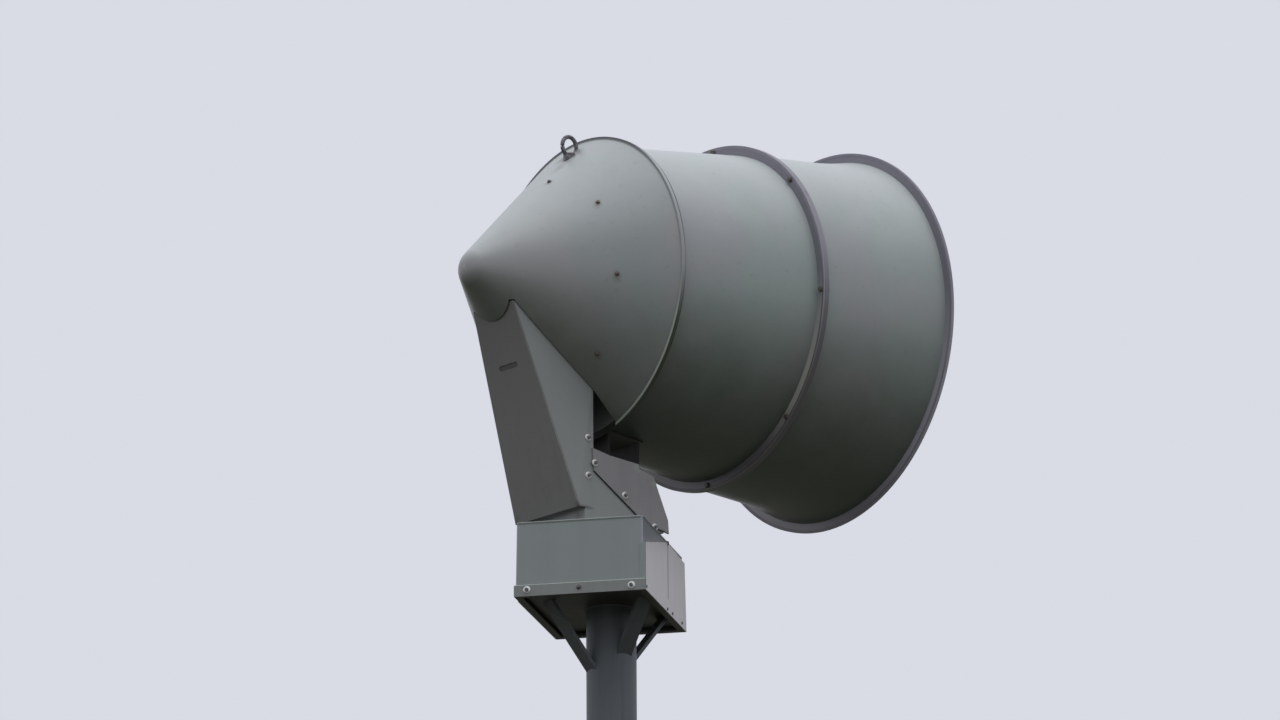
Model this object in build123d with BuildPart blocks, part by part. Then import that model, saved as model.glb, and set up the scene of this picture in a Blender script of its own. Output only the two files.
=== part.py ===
from build123d import *
import os
from math import atan, cos, radians, sin, sqrt, tan

# A rotating warning siren on a tubular steel mast. Millimetres, +Z up.
# The origin is the middle of the base plate's underside, where the mast meets its foundation.
# At rest the horn's mouth faces -Y. The gearbox housing below it is turned by housing_angle.

# Base plate and mast
base_plate_side = 420
base_plate_thickness = 28
base_plate_corner = 30
anchor_circle = 450
anchor_hole = 33
anchor_start_angle = 45
base_rib_height = 150
base_rib_reach = 62
base_rib_thickness = 10
base_rib_nose = 20
mast_length = 6100
mast_foot_diameter = 260
mast_head_diameter = 168
mast_wall = 6

# Handhole near the mast's foot
handhole_width = 100
handhole_length = 230
handhole_height = 900
handhole_frame_band = 16
handhole_frame_depth = 30
handhole_frame_proud = 8
handhole_cover_thickness = 5
handhole_cover_lap = 4
handhole_cover_edge = 1.6

# Flanged joint between the mast and the pipe, and the pipe itself
flange_diameter = 280
flange_thickness = 16
flange_bolt_circle = 235
flange_bolt_hole = 18
flange_bolt_count = 8
mast_flange_step = 20
pipe_diameter = 114.3
pipe_wall = 6
pipe_length = 700

# Flat braces between the pipe and the housing's floor: reach is measured at the housing's bottom edge
brace_width = 38
brace_thickness = 8
brace_lean = 0.8
brace_reach_right = 132
brace_reach_left = 158

# Gearbox housing, drawn square to its own sides: its width runs along local X
housing_angle = -142
housing_offset = -22
housing_depth_offset = -13
housing_width = 303
housing_depth = 426
housing_height = 173
tray_height = 25
tray_thickness = 3
tray_recess = 11
tray_flange = 15
shell_inset = 3
shell_draft = 3.5
shell_wall = 3
top_sheet_thickness = 2.5

# Screwed cover on each long side of the housing: points are distances behind its front edge and heights
side_cover_thickness = 2
side_cover_margin = 2
side_cover_front_height = 110
side_cover_left_start = 48
side_cover_crown = (229, 164)
side_cover_crown_end = (274, 162)
side_cover_rear_top = (406, 157)
side_cover_seam_width = 4
side_cover_seam_depth = 3
side_cover_seam_foot = 31

# Slewing bearing
slew_ring_diameter = 150
slew_pin_diameter = 70
slew_pin_length = 60
slew_pin_opening = 2
running_gap = 0.3
head_clearance = 6
turntable_diameter = 112
turntable_thickness = 8

# Arm that carries the horn: heights are above the housing's top, Y runs to the rear
sheet = 4
arm_width = 228
arm_bottom = 32
arm_rear = 186
arm_top_width = 141
arm_top_rear = 342
arm_top = 495
arm_front = 143
arm_front_top = 330
arm_toe = 9
arm_seam_height = 128
skirt_front = -62
skirt_rear = 168
louver_width = 66
louver_height = 12
louver_level = 362

# Gusset plates that carry the front of the arm out under the horn
gusset_top_rear = (148, 172)
gusset_top_middle = (96, 162)
gusset_step = (14, 155)
gusset_step_foot = (12, 144)
gusset_shoulder = (-30, 132)
gusset_neck = (-38, 114)
gusset_knee = (-72, 36)
gusset_toe = (-74, 5.5)
gusset_overlap = 8

# Saddle under the horn's rear barrel
saddle_rib_thickness = 6
saddle_front = -34
saddle_rear = 52
saddle_foot = 108
cradle_thickness = 4
cradle_overhang = 12
cradle_half_angle = 19

# Horn: radii are outer ones, distances run forward from the cone's rim
horn_axis_height = 576
rim_rear = 73
skin = 5
cone_rim_radius = 359
cone_half_angle = 43.4
cone_nose_radius = 57
cone_lip = 7
slot_margin = 3
rear_barrel_radius = 337
rear_flange_radius = 357
rear_flange_thickness = 5
rear_barrel_front_radius = 383
rear_barrel_length = 381
joint_flange_width = 17
joint_flange_thickness = 7.5
front_barrel_radius = 388
front_barrel_neck_radius = 404
front_barrel_neck = 585
mouth_flare = 22
mouth_flange_width = 22
mouth_distance = 728
mouth_flange_thickness = 7

# Lifting eye on top of the cone
eye_distance = 53
eye_outer_diameter = 47
eye_bar = 9
eye_bar_sides = 8
eye_shank_diameter = 14
eye_collar_diameter = 28
eye_collar_height = 8
eye_stem = 10

# Sound path inside the horn
throat_rear_radius = 80
throat_front_radius = 190
throat_length = 500
throat_wall = 5
sound_passage = 118
dome_taper = 22
dome_rear = 330
dome_front = 610
dome_nose = 700
dome_edge_radius = 30
dome_strut_count = 4
dome_strut_width = 46
dome_strut_thickness = 8
dome_strut_distance = 560

# Chopper and motor behind the bulkhead
chopper_radius = 152
chopper_length = 44
motor_radius = 108
motor_length = 176
motor_plate_thickness = 8
motor_foot_width = 110
motor_foot_length = 120
motor_foot_height = 60
motor_edge = 14

# Levels and lines that follow from the sizes above
mast_top = base_plate_thickness + mast_length
pipe_bottom = mast_top + 2 * flange_thickness
housing_bottom = pipe_bottom + pipe_length
housing_top = housing_bottom + housing_height
axis_level = housing_top + horn_axis_height
floor_underside = housing_bottom + tray_recess
arm_half = arm_width / 2
arm_top_half = arm_top_width / 2
joint_flange_radius = front_barrel_radius + joint_flange_width
mouth_throat_radius = front_barrel_neck_radius + mouth_flare
mouth_radius = mouth_throat_radius + mouth_flange_width
dome_radius = front_barrel_neck_radius - sound_passage
dome_rear_radius = dome_radius - dome_taper
cone_slope = tan(radians(cone_half_angle))

horn_plane = Plane(origin=(0, rim_rear, axis_level), x_dir=(0, -1, 0), z_dir=(-1, 0, 0))
horn_axis = Axis((0, rim_rear, axis_level), (0, -1, 0))
housing_axes = Plane.XY.offset(housing_bottom).rotated((0, 0, housing_angle))

os.makedirs("parts", exist_ok=True)


def write(builder, name):
    """Label a finished piece and write it as its own file."""
    builder.part.label = name
    export_step(builder.part, f"parts/{name}.step")


def side_plane(x):
    """A plane across the head at x, with axes to the rear and up from the housing's top."""
    return Plane(origin=(x, 0, housing_top), x_dir=(0, 1, 0), z_dir=(1, 0, 0))


def level_plane(height):
    """A level plane at a height above the housing's top."""
    return Plane.XY.offset(housing_top + height)


def arm_point(side, half_width, rear, height):
    """A point of the arm on one side, side being -1 or 1."""
    return Vector(side * half_width, rear, housing_top + height)


def leaning_plane(side):
    """The outer face of the arm's leaning side panel, facing out."""
    foot = arm_point(side, arm_half, arm_rear, arm_bottom)
    front = arm_point(side, arm_half, arm_front, arm_front_top)
    top = arm_point(side, arm_top_half, arm_top_rear, arm_top)
    outward = (front - foot).cross(top - foot)
    if outward.X * side < 0:
        outward = outward * -1
    return Plane(origin=foot, x_dir=front - foot, z_dir=outward)


def back_plane():
    """The outer face of the arm's back plate, facing the rear."""
    foot = Vector(0, arm_rear, housing_top + arm_bottom)
    rise = Vector(0, arm_top_rear - arm_rear, arm_top - arm_bottom)
    return Plane(origin=foot, x_dir=(-1, 0, 0), z_dir=Vector(-1, 0, 0).cross(rise))


def arm_envelope(margin, front, bottom, top):
    """The space inside the arm's outer faces, grown by a margin, between a front line and two levels."""
    with BuildPart() as envelope:
        with BuildSketch(level_plane(bottom)):
            with Locations((0, (front + arm_top_rear + arm_rear) / 2)):
                Rectangle(arm_width + 2 * margin, arm_top_rear + arm_rear - front)
        extrude(amount=top - bottom)
        split(bisect_by=back_plane().offset(margin), keep=Keep.BOTTOM)
        for side in (-1, 1):
            split(bisect_by=leaning_plane(side).offset(margin), keep=Keep.BOTTOM)
    return envelope.part


def cone_radius(distance_behind_rim):
    """The cone's outer radius at a distance behind its rim."""
    return cone_rim_radius - distance_behind_rim * cone_slope


def rear_barrel_radius_at(distance):
    """The rear barrel's outer radius at a distance ahead of the cone's rim."""
    share = distance / rear_barrel_length
    return rear_barrel_radius + (rear_barrel_front_radius - rear_barrel_radius) * share


def front_barrel_radius_at(distance):
    """The front barrel's outer radius between its joint flange and its neck."""
    share = (distance - rear_barrel_length) / (front_barrel_neck - rear_barrel_length)
    return front_barrel_radius + (front_barrel_neck_radius - front_barrel_radius) * share


# Base plate, with four anchor holes
with BuildPart() as base_plate:
    with BuildSketch():
        RectangleRounded(base_plate_side, base_plate_side, base_plate_corner)
        with PolarLocations(anchor_circle / 2, 4, start_angle=anchor_start_angle):
            Circle(anchor_hole / 2, mode=Mode.SUBTRACT)
    extrude(amount=base_plate_thickness)
write(base_plate, "base_plate")

# Mast shaft, a tapered tube with the handhole cut through its front
handhole_plane = Plane(origin=(0, 0, handhole_height), x_dir=(1, 0, 0), z_dir=(0, -1, 0))
with BuildPart() as mast_shaft:
    with BuildSketch(Plane.XZ):
        with BuildLine():
            Polyline(
                (mast_foot_diameter / 2, base_plate_thickness),
                (mast_head_diameter / 2, mast_top),
                (mast_head_diameter / 2 - mast_wall, mast_top),
                (mast_foot_diameter / 2 - mast_wall, base_plate_thickness),
                close=True,
            )
        make_face()
    revolve(axis=Axis.Z)
    with BuildSketch(handhole_plane):
        SlotOverall(handhole_length, handhole_width, rotation=90)
    extrude(amount=mast_foot_diameter, mode=Mode.SUBTRACT)
write(mast_shaft, "mast_shaft")

mast_taper = (mast_foot_diameter - mast_head_diameter) / 2 / mast_length


def mast_radius(level):
    """The mast's outer radius at a level above the ground."""
    return mast_foot_diameter / 2 - (level - base_plate_thickness) * mast_taper


# Ribs between the base plate and the mast, one on each side
with BuildPart() as base_ribs:
    rib_foot = mast_foot_diameter / 2
    rib_head = mast_radius(base_plate_thickness + base_rib_height)
    for turn in range(4):
        rib_plane = Plane.XZ.rotated((0, 0, 90 * turn))
        with BuildSketch(rib_plane):
            with BuildLine():
                Polyline(
                    (rib_foot, base_plate_thickness),
                    (rib_foot + base_rib_reach, base_plate_thickness),
                    (rib_foot + base_rib_reach, base_plate_thickness + base_rib_nose),
                    (rib_head + base_rib_thickness, base_plate_thickness + base_rib_height),
                    (rib_head, base_plate_thickness + base_rib_height),
                    close=True,
                )
            make_face()
        extrude(amount=base_rib_thickness / 2, both=True)
write(base_ribs, "base_ribs")

# Handhole frame, welded into the mast, and the cover on it
frame_face = mast_radius(handhole_height) + handhole_frame_proud
with BuildPart() as handhole_frame:
    with BuildSketch(handhole_plane.offset(frame_face)):
        SlotOverall(handhole_length, handhole_width, rotation=90)
        SlotOverall(
            handhole_length - handhole_frame_band,
            handhole_width - handhole_frame_band,
            rotation=90,
            mode=Mode.SUBTRACT,
        )
    extrude(amount=-handhole_frame_depth)
write(handhole_frame, "handhole_frame")

with BuildPart() as handhole_cover:
    with BuildSketch(handhole_plane.offset(frame_face)):
        SlotOverall(
            handhole_length + 2 * handhole_cover_lap,
            handhole_width + 2 * handhole_cover_lap,
            rotation=90,
        )
    extrude(amount=handhole_cover_thickness)
    fillet(handhole_cover.faces().sort_by(Axis.Y)[0].edges(), handhole_cover_edge)
write(handhole_cover, "handhole_cover")

# The two flanges between the mast and the pipe
for name, level, bore in (
    ("mast_head_flange", mast_top, mast_head_diameter / 2 - mast_wall - mast_flange_step),
    ("pipe_foot_flange", mast_top + flange_thickness, pipe_diameter / 2 - pipe_wall),
):
    with BuildPart() as flange:
        with BuildSketch(Plane.XY.offset(level)):
            Circle(flange_diameter / 2)
            Circle(bore, mode=Mode.SUBTRACT)
            with PolarLocations(flange_bolt_circle / 2, flange_bolt_count, 180 / flange_bolt_count):
                Circle(flange_bolt_hole / 2, mode=Mode.SUBTRACT)
        extrude(amount=flange_thickness)
    write(flange, name)

# Pipe between the flange and the housing's recessed floor
with BuildPart() as stub_pipe:
    with BuildSketch(Plane.XY.offset(pipe_bottom)):
        Circle(pipe_diameter / 2)
        Circle(pipe_diameter / 2 - pipe_wall, mode=Mode.SUBTRACT)
    extrude(amount=floor_underside - pipe_bottom)
write(stub_pipe, "stub_pipe")

# Three flat braces from the pipe towards corners of the floor, coped to the pipe
brace_foot = brace_thickness / cos(atan(brace_lean))
brace_root = pipe_diameter / 2 - pipe_wall
for name, turn, reach in (
    ("brace_right_rear", 45, brace_reach_right),
    ("brace_right_front", -45, brace_reach_right),
    ("brace_left_front", -135, brace_reach_left),
):
    brace_top = reach + brace_lean * tray_recess
    brace_drop = (brace_top - brace_root) / brace_lean
    with BuildPart() as brace:
        with BuildSketch(Plane.XZ.rotated((0, 0, housing_angle + turn))):
            with BuildLine():
                Polyline(
                    (brace_top + brace_foot / 2, floor_underside),
                    (brace_top - brace_foot / 2, floor_underside),
                    (brace_root, floor_underside - brace_drop + brace_foot / 2 / brace_lean),
                    (brace_root, floor_underside - brace_drop - brace_foot / 2 / brace_lean),
                    close=True,
                )
            make_face()
        extrude(amount=brace_width / 2, both=True)
        with BuildSketch(Plane.XY.offset(pipe_bottom)):
            Circle(pipe_diameter / 2 + running_gap)
        extrude(amount=floor_underside - pipe_bottom, mode=Mode.SUBTRACT)
    write(brace, name)

# Housing tray: a floor set up inside a rim, whose lower edge is folded inwards
housing_centre = (housing_offset, housing_depth_offset)
floor_top = tray_recess + tray_thickness
with BuildPart() as housing_tray:
    with BuildSketch(housing_axes):
        with Locations(housing_centre):
            Rectangle(housing_width, housing_depth)
    extrude(amount=tray_height)
    for level, height, inset in (
        (floor_top, tray_height, tray_thickness),
        (tray_thickness, tray_recess - tray_thickness, tray_thickness),
        (0, tray_thickness, tray_flange),
    ):
        with BuildSketch(housing_axes.offset(level)):
            with Locations(housing_centre):
                Rectangle(housing_width - 2 * inset, housing_depth - 2 * inset)
        extrude(amount=height, mode=Mode.SUBTRACT)
write(housing_tray, "housing_tray")

# Housing shell: four drafted walls standing in the tray
shell_bottom_width = housing_width - 2 * shell_inset
shell_bottom_depth = housing_depth - 2 * shell_inset
shell_rise = housing_height - floor_top - top_sheet_thickness
with BuildPart() as housing_shell:
    with BuildSketch(housing_axes.offset(floor_top)):
        with Locations(housing_centre):
            Rectangle(shell_bottom_width, shell_bottom_depth)
    extrude(amount=shell_rise, taper=shell_draft)
    with BuildSketch(housing_axes.offset(floor_top)):
        with Locations(housing_centre):
            Rectangle(shell_bottom_width - 2 * shell_wall, shell_bottom_depth - 2 * shell_wall)
    extrude(amount=shell_rise, taper=shell_draft, mode=Mode.SUBTRACT)
write(housing_shell, "housing_shell")

# Housing top: a sheet whose edge stands just proud of the walls, with a hole for the slewing pin
shell_lean = tan(radians(shell_draft))
top_width = shell_bottom_width - 2 * shell_rise * shell_lean + 2 * top_sheet_thickness
top_depth = shell_bottom_depth - 2 * shell_rise * shell_lean + 2 * top_sheet_thickness
with BuildPart() as housing_lid:
    with BuildSketch(housing_axes.offset(floor_top + shell_rise)):
        with Locations(housing_centre):
            Rectangle(top_width, top_depth)
        Circle(slew_pin_diameter / 2 + slew_pin_opening, mode=Mode.SUBTRACT)
    extrude(amount=top_sheet_thickness)
write(housing_lid, "housing_lid")

# Cover on each long side: a folded pan that closes on the tray's rim and on the leaning wall
cover_front = housing_depth_offset - housing_depth / 2 + side_cover_margin
cover_length = housing_depth - 2 * side_cover_margin
for side, name, start in ((1, "side_cover_right", 0), (-1, "side_cover_left", side_cover_left_start)):
    cover_face = housing_offset + side * (housing_width / 2 + side_cover_thickness)
    cover_origin = housing_axes.from_local_coords(Vector(cover_face, cover_front, 0))
    cover_plane = Plane(origin=cover_origin, x_dir=housing_axes.y_dir, z_dir=housing_axes.x_dir)
    with BuildPart() as side_cover:
        with BuildSketch(cover_plane):
            with BuildLine():
                Polyline(
                    (start, 0),
                    (start, side_cover_front_height),
                    side_cover_crown,
                    side_cover_crown_end,
                    side_cover_rear_top,
                    (cover_length, 0),
                    close=True,
                )
            make_face()
        extrude(amount=-side * (side_cover_thickness + shell_inset + shell_rise * shell_lean))
        with BuildSketch(housing_axes):
            with Locations(housing_centre):
                Rectangle(housing_width, housing_depth)
        extrude(amount=tray_height + running_gap, mode=Mode.SUBTRACT)
        with BuildSketch(housing_axes.offset(floor_top)):
            with Locations(housing_centre):
                Rectangle(shell_bottom_width + 2 * running_gap, shell_bottom_depth)
        extrude(amount=shell_rise, taper=shell_draft, mode=Mode.SUBTRACT)
        with BuildSketch(cover_plane):
            with Locations((side_cover_crown[0], side_cover_seam_foot)):
                Rectangle(side_cover_seam_width, side_cover_crown[1], align=(Align.CENTER, Align.MIN))
        extrude(amount=-side * side_cover_seam_depth, mode=Mode.SUBTRACT)
    write(side_cover, name)

# Fixed ring of the slewing bearing
with BuildPart() as slew_ring:
    with BuildSketch(level_plane(0)):
        Circle(slew_ring_diameter / 2)
        Circle(slew_pin_diameter / 2 + running_gap, mode=Mode.SUBTRACT)
    extrude(amount=head_clearance - running_gap)
write(slew_ring, "slew_ring")

# Turntable: the disc the head stands on, with the slewing pin below it
with BuildPart() as turntable:
    with BuildSketch(level_plane(head_clearance)):
        Circle(turntable_diameter / 2)
    extrude(amount=turntable_thickness)
    with BuildSketch(level_plane(head_clearance)):
        Circle(slew_pin_diameter / 2)
    extrude(amount=-slew_pin_length)
write(turntable, "turntable")

# Skirt: a low pan over the turntable, the floor of the arm
skirt_rise = arm_bottom - head_clearance
skirt_length = skirt_rear - skirt_front
skirt_middle = (skirt_rear + skirt_front) / 2
with BuildPart() as base_skirt:
    with BuildSketch(level_plane(head_clearance)):
        with Locations((0, skirt_middle)):
            Rectangle(arm_width, skirt_length)
    extrude(amount=skirt_rise)
    with BuildSketch(level_plane(head_clearance)):
        with Locations((0, skirt_middle)):
            Rectangle(arm_width - 2 * sheet, skirt_length - 2 * sheet)
    extrude(amount=skirt_rise - sheet, mode=Mode.SUBTRACT)
    with BuildSketch(level_plane(head_clearance + turntable_thickness)):
        Circle(turntable_diameter / 2)
    extrude(amount=skirt_rise - sheet - turntable_thickness)
write(base_skirt, "base_skirt")

# Back plate of the arm, leaning back and narrowing upwards
rise_length = sqrt((arm_top_rear - arm_rear) ** 2 + (arm_top - arm_bottom) ** 2)
with BuildPart() as arm_back_plate:
    with BuildSketch(back_plane()):
        with BuildLine():
            Polyline(
                (arm_half, 0),
                (arm_top_half, rise_length),
                (-arm_top_half, rise_length),
                (-arm_half, 0),
                close=True,
            )
        make_face()
        louver_rise = (louver_level - arm_bottom) * rise_length / (arm_top - arm_bottom)
        with Locations((0, louver_rise)):
            SlotOverall(louver_width, louver_height, mode=Mode.SUBTRACT)
    extrude(amount=-sheet)
write(arm_back_plate, "arm_back_plate")

# Side plates of the arm: a flat panel in front of the fold and a leaning one behind it
for side, name in ((-1, "arm_side_left"), (1, "arm_side_right")):
    fold = leaning_plane(side)
    fold_rear = arm_rear + (arm_front - arm_rear) * (arm_top - arm_bottom) / (arm_front_top - arm_bottom)
    lean_foot = fold.to_local_coords(arm_point(side, arm_half, arm_rear, arm_bottom))
    lean_head = fold.to_local_coords(arm_point(side, arm_half, fold_rear, arm_top))
    lean_rear = fold.to_local_coords(arm_point(side, arm_top_half, arm_top_rear, arm_top))
    with BuildPart() as arm_side:
        with BuildSketch(side_plane(side * arm_half)):
            with BuildLine():
                Polyline(
                    (arm_rear, arm_bottom),
                    (arm_front, arm_front_top),
                    (arm_front, arm_seam_height),
                    (arm_toe, arm_bottom),
                    close=True,
                )
            make_face()
        extrude(amount=-side * sheet)
        with BuildSketch(fold):
            with BuildLine():
                Polyline(
                    (lean_foot.X, lean_foot.Y),
                    (lean_head.X, lean_head.Y),
                    (lean_rear.X, lean_rear.Y),
                    close=True,
                )
            make_face()
        extrude(amount=-sheet)
        split(bisect_by=back_plane().offset(-sheet), keep=Keep.BOTTOM)
    write(arm_side, name)

# Gusset plates outside the arm's side plates, each with its top edge folded in
for side, name in ((-1, "gusset_left"), (1, "gusset_right")):
    with BuildPart() as gusset:
        with BuildSketch(side_plane(side * arm_half)):
            with BuildLine():
                Polyline(
                    gusset_top_rear,
                    gusset_top_middle,
                    gusset_step,
                    gusset_step_foot,
                    gusset_shoulder,
                    gusset_neck,
                    gusset_knee,
                    gusset_toe,
                    (arm_toe - gusset_overlap, arm_bottom - gusset_overlap),
                    (arm_front, arm_seam_height - gusset_overlap),
                    close=True,
                )
            make_face()
        extrude(amount=side * sheet)
    write(gusset, name)

# Saddle ribs across the arm, cut to the rear barrel's underside
for name, place in (("saddle_rib_front", saddle_front), ("saddle_rib_rear", saddle_rear)):
    with BuildPart() as saddle_rib:
        rib_plane = Plane(origin=(0, place, housing_top), x_dir=(1, 0, 0), z_dir=(0, -1, 0))
        cradle_distance = rim_rear - place + saddle_rib_thickness
        cradle_underside = rear_barrel_radius_at(cradle_distance) + cradle_thickness
        with BuildSketch(rib_plane):
            with Locations((0, (saddle_foot + horn_axis_height) / 2)):
                Rectangle(arm_width, horn_axis_height - saddle_foot)
            with Locations((0, horn_axis_height)):
                Circle(cradle_underside, mode=Mode.SUBTRACT)
        extrude(amount=saddle_rib_thickness / 2, both=True)
    write(saddle_rib, name)

# Cradle: a curved strip on the ribs, under the barrel
with BuildPart() as cradle:
    cradle_rear = rim_rear - saddle_rear - cradle_overhang
    cradle_front = rim_rear - saddle_front + cradle_overhang
    with BuildSketch(horn_plane):
        with BuildLine():
            Polyline(
                (cradle_rear, -rear_barrel_radius_at(cradle_rear)),
                (cradle_front, -rear_barrel_radius_at(cradle_front)),
                (cradle_front, -rear_barrel_radius_at(cradle_front) - cradle_thickness),
                (cradle_rear, -rear_barrel_radius_at(cradle_rear) - cradle_thickness),
                close=True,
            )
        make_face()
    revolve(axis=horn_axis, revolution_arc=cradle_half_angle)
    mirror(about=Plane.YZ)
write(cradle, "cradle")

# Rear cone: a thin shell with a rounded nose, a rim lip and a slot for the arm
def cone_form(inset):
    """The cone as a solid, with its surface moved inwards by an inset."""
    rim = cone_rim_radius - inset / cos(radians(cone_half_angle))
    nose = cone_nose_radius - inset
    nose_centre = -(cone_rim_radius - cone_nose_radius / cos(radians(cone_half_angle))) / cone_slope
    tangent_point = (
        nose_centre - nose * sin(radians(cone_half_angle)),
        nose * cos(radians(cone_half_angle)),
    )
    with BuildPart() as form:
        with BuildSketch(horn_plane):
            with BuildLine():
                Polyline((nose_centre - nose, 0), (0, 0), (0, rim), tangent_point)
                RadiusArc(tangent_point, (nose_centre - nose, 0), -nose)
            make_face()
        revolve(axis=horn_axis)
    return form.part


with BuildPart() as cone_shell:
    add(cone_form(0))
    with BuildSketch(horn_plane):
        with Locations((-cone_lip / 2, cone_rim_radius / 2)):
            Rectangle(cone_lip, cone_rim_radius)
    revolve(axis=horn_axis)
    add(cone_form(skin), mode=Mode.SUBTRACT)
    add(arm_envelope(slot_margin, -arm_rear, arm_bottom, arm_top + slot_margin), mode=Mode.SUBTRACT)
write(cone_shell, "cone_shell")

# Lifting eye, standing on the cone's upper side
eye_foot = horn_axis_height + cone_radius(eye_distance)
eye_rear = rim_rear + eye_distance
with BuildPart() as lifting_eye:
    with BuildSketch(level_plane(eye_foot + eye_collar_height)):
        with Locations((0, eye_rear)):
            Circle(eye_collar_diameter / 2)
    extrude(amount=-eye_collar_height - eye_collar_diameter)
    with BuildSketch(level_plane(eye_foot)):
        with Locations((0, eye_rear)):
            Circle(eye_shank_diameter / 2)
    extrude(amount=eye_collar_height + eye_stem - eye_bar / 2)
    ring_level = housing_top + eye_foot + eye_collar_height + eye_stem + eye_outer_diameter / 2 - eye_bar
    ring_plane = Plane(origin=(0, eye_rear, ring_level), x_dir=(1, 0, 0), z_dir=(0, 0, 1))
    with BuildSketch(ring_plane):
        with Locations((0, (eye_outer_diameter - eye_bar) / 2)):
            RegularPolygon(eye_bar / 2, eye_bar_sides)
    revolve(axis=Axis(ring_plane.origin, ring_plane.x_dir))
    add(cone_form(0), mode=Mode.SUBTRACT)
write(lifting_eye, "lifting_eye")

# Rear barrel, with a narrow flange behind the cone's rim and the joint flange at its front end
joint_flange_start = rear_barrel_length - joint_flange_thickness
with BuildPart() as rear_barrel:
    with BuildSketch(horn_plane):
        with BuildLine():
            Polyline(
                (0, rear_flange_radius),
                (rear_flange_thickness, rear_flange_radius),
                (rear_flange_thickness, rear_barrel_radius_at(rear_flange_thickness)),
                (joint_flange_start, rear_barrel_radius_at(joint_flange_start)),
                (joint_flange_start, joint_flange_radius),
                (rear_barrel_length, joint_flange_radius),
                (rear_barrel_length, rear_barrel_front_radius - skin),
                (0, rear_barrel_radius - skin),
                close=True,
            )
        make_face()
    revolve(axis=horn_axis)
write(rear_barrel, "rear_barrel")

# Bulkhead: the wall between the cone and the rear barrel, with the throat's hole
with BuildPart() as bulkhead:
    with BuildSketch(horn_plane):
        with BuildLine():
            Polyline(
                (0, throat_rear_radius),
                (0, rear_barrel_radius - skin),
                (skin, rear_barrel_radius - skin),
                (skin, throat_rear_radius),
                close=True,
            )
        make_face()
    revolve(axis=horn_axis)
write(bulkhead, "bulkhead")

# Front barrel, flaring to the rolled mouth
with BuildPart() as front_barrel:
    with BuildSketch(horn_plane):
        with BuildLine():
            flange_front = rear_barrel_length + joint_flange_thickness
            neck_outer = (front_barrel_neck, front_barrel_neck_radius)
            neck_inner = (front_barrel_neck, front_barrel_neck_radius - skin)
            lip_outer = (mouth_distance - mouth_flange_thickness, mouth_throat_radius)
            lip_inner = (mouth_distance, mouth_throat_radius - skin)
            neck_slope = Vector(
                front_barrel_neck - flange_front,
                front_barrel_neck_radius - front_barrel_radius_at(flange_front),
            )
            Polyline(
                neck_inner,
                (rear_barrel_length, front_barrel_radius - skin),
                (rear_barrel_length, joint_flange_radius),
                (flange_front, joint_flange_radius),
                (flange_front, front_barrel_radius_at(flange_front)),
                neck_outer,
            )
            TangentArc(neck_outer, lip_outer, tangent=neck_slope)
            Polyline(
                lip_outer,
                (mouth_distance - mouth_flange_thickness, mouth_radius),
                (mouth_distance, mouth_radius),
                lip_inner,
            )
            TangentArc(neck_inner, lip_inner, tangent=neck_slope)
        make_face()
    revolve(axis=horn_axis)
write(front_barrel, "front_barrel")

# Throat: the inner horn that leads forward from the chopper
with BuildPart() as throat_horn:
    with BuildSketch(horn_plane):
        with BuildLine():
            Polyline(
                (skin, throat_rear_radius),
                (skin, throat_rear_radius + throat_wall),
                (throat_length, throat_front_radius),
                (throat_length, throat_front_radius - throat_wall),
                close=True,
            )
        make_face()
    revolve(axis=horn_axis)
write(throat_horn, "throat_horn")

# Reflector dome: a cup over the throat's mouth, closed by a shallow cap towards the front
cap_depth = dome_nose - dome_front
cap_radius = (dome_radius**2 + cap_depth**2) / 2 / cap_depth
cap_inner_radius = cap_radius - throat_wall
dome_inner_radius = dome_radius - throat_wall
cap_inner_front = dome_nose - cap_radius + sqrt(cap_inner_radius**2 - dome_inner_radius**2)
with BuildPart() as reflector_dome:
    with BuildSketch(horn_plane) as dome_section:
        with BuildLine():
            Polyline(
                (cap_inner_front, dome_inner_radius),
                (dome_rear, dome_rear_radius - throat_wall),
                (dome_rear, dome_rear_radius),
                (dome_front, dome_radius),
            )
            RadiusArc((dome_front, dome_radius), (dome_nose, 0), cap_radius)
            Line((dome_nose, 0), (dome_nose - throat_wall, 0))
            RadiusArc(
                (dome_nose - throat_wall, 0),
                (cap_inner_front, dome_inner_radius),
                -cap_inner_radius,
            )
        make_face()
        outer_corner = dome_section.vertices().sort_by_distance((dome_front, dome_radius))[0]
        fillet(outer_corner, dome_edge_radius)
        inner_corner = dome_section.vertices().sort_by_distance((cap_inner_front, dome_inner_radius))[0]
        fillet(inner_corner, dome_edge_radius - throat_wall)
    revolve(axis=horn_axis)
write(reflector_dome, "reflector_dome")


def dome_radius_at(distance):
    """The dome's outer radius along its side."""
    share = (distance - dome_rear) / (dome_front - dome_rear)
    return dome_rear_radius + (dome_radius - dome_rear_radius) * share


# Struts from the dome's side to the front barrel, flat bars edge-on to the sound
strut_rear = dome_strut_distance - dome_strut_width / 2
strut_front = dome_strut_distance + dome_strut_width / 2
with BuildPart() as dome_struts:
    with BuildSketch(horn_plane):
        with BuildLine():
            Polyline(
                (strut_rear, dome_radius_at(strut_rear)),
                (strut_front, dome_radius_at(strut_front)),
                (strut_front, front_barrel_radius_at(strut_front) - skin - running_gap),
                (strut_rear, front_barrel_radius_at(strut_rear) - skin - running_gap),
                close=True,
            )
        make_face()
    strut = extrude(amount=dome_strut_thickness / 2, both=True, mode=Mode.PRIVATE)
    for turn in range(dome_strut_count):
        add(strut.rotate(horn_axis, 360 / dome_strut_count * (turn + 0.5)))
write(dome_struts, "dome_struts")

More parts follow.
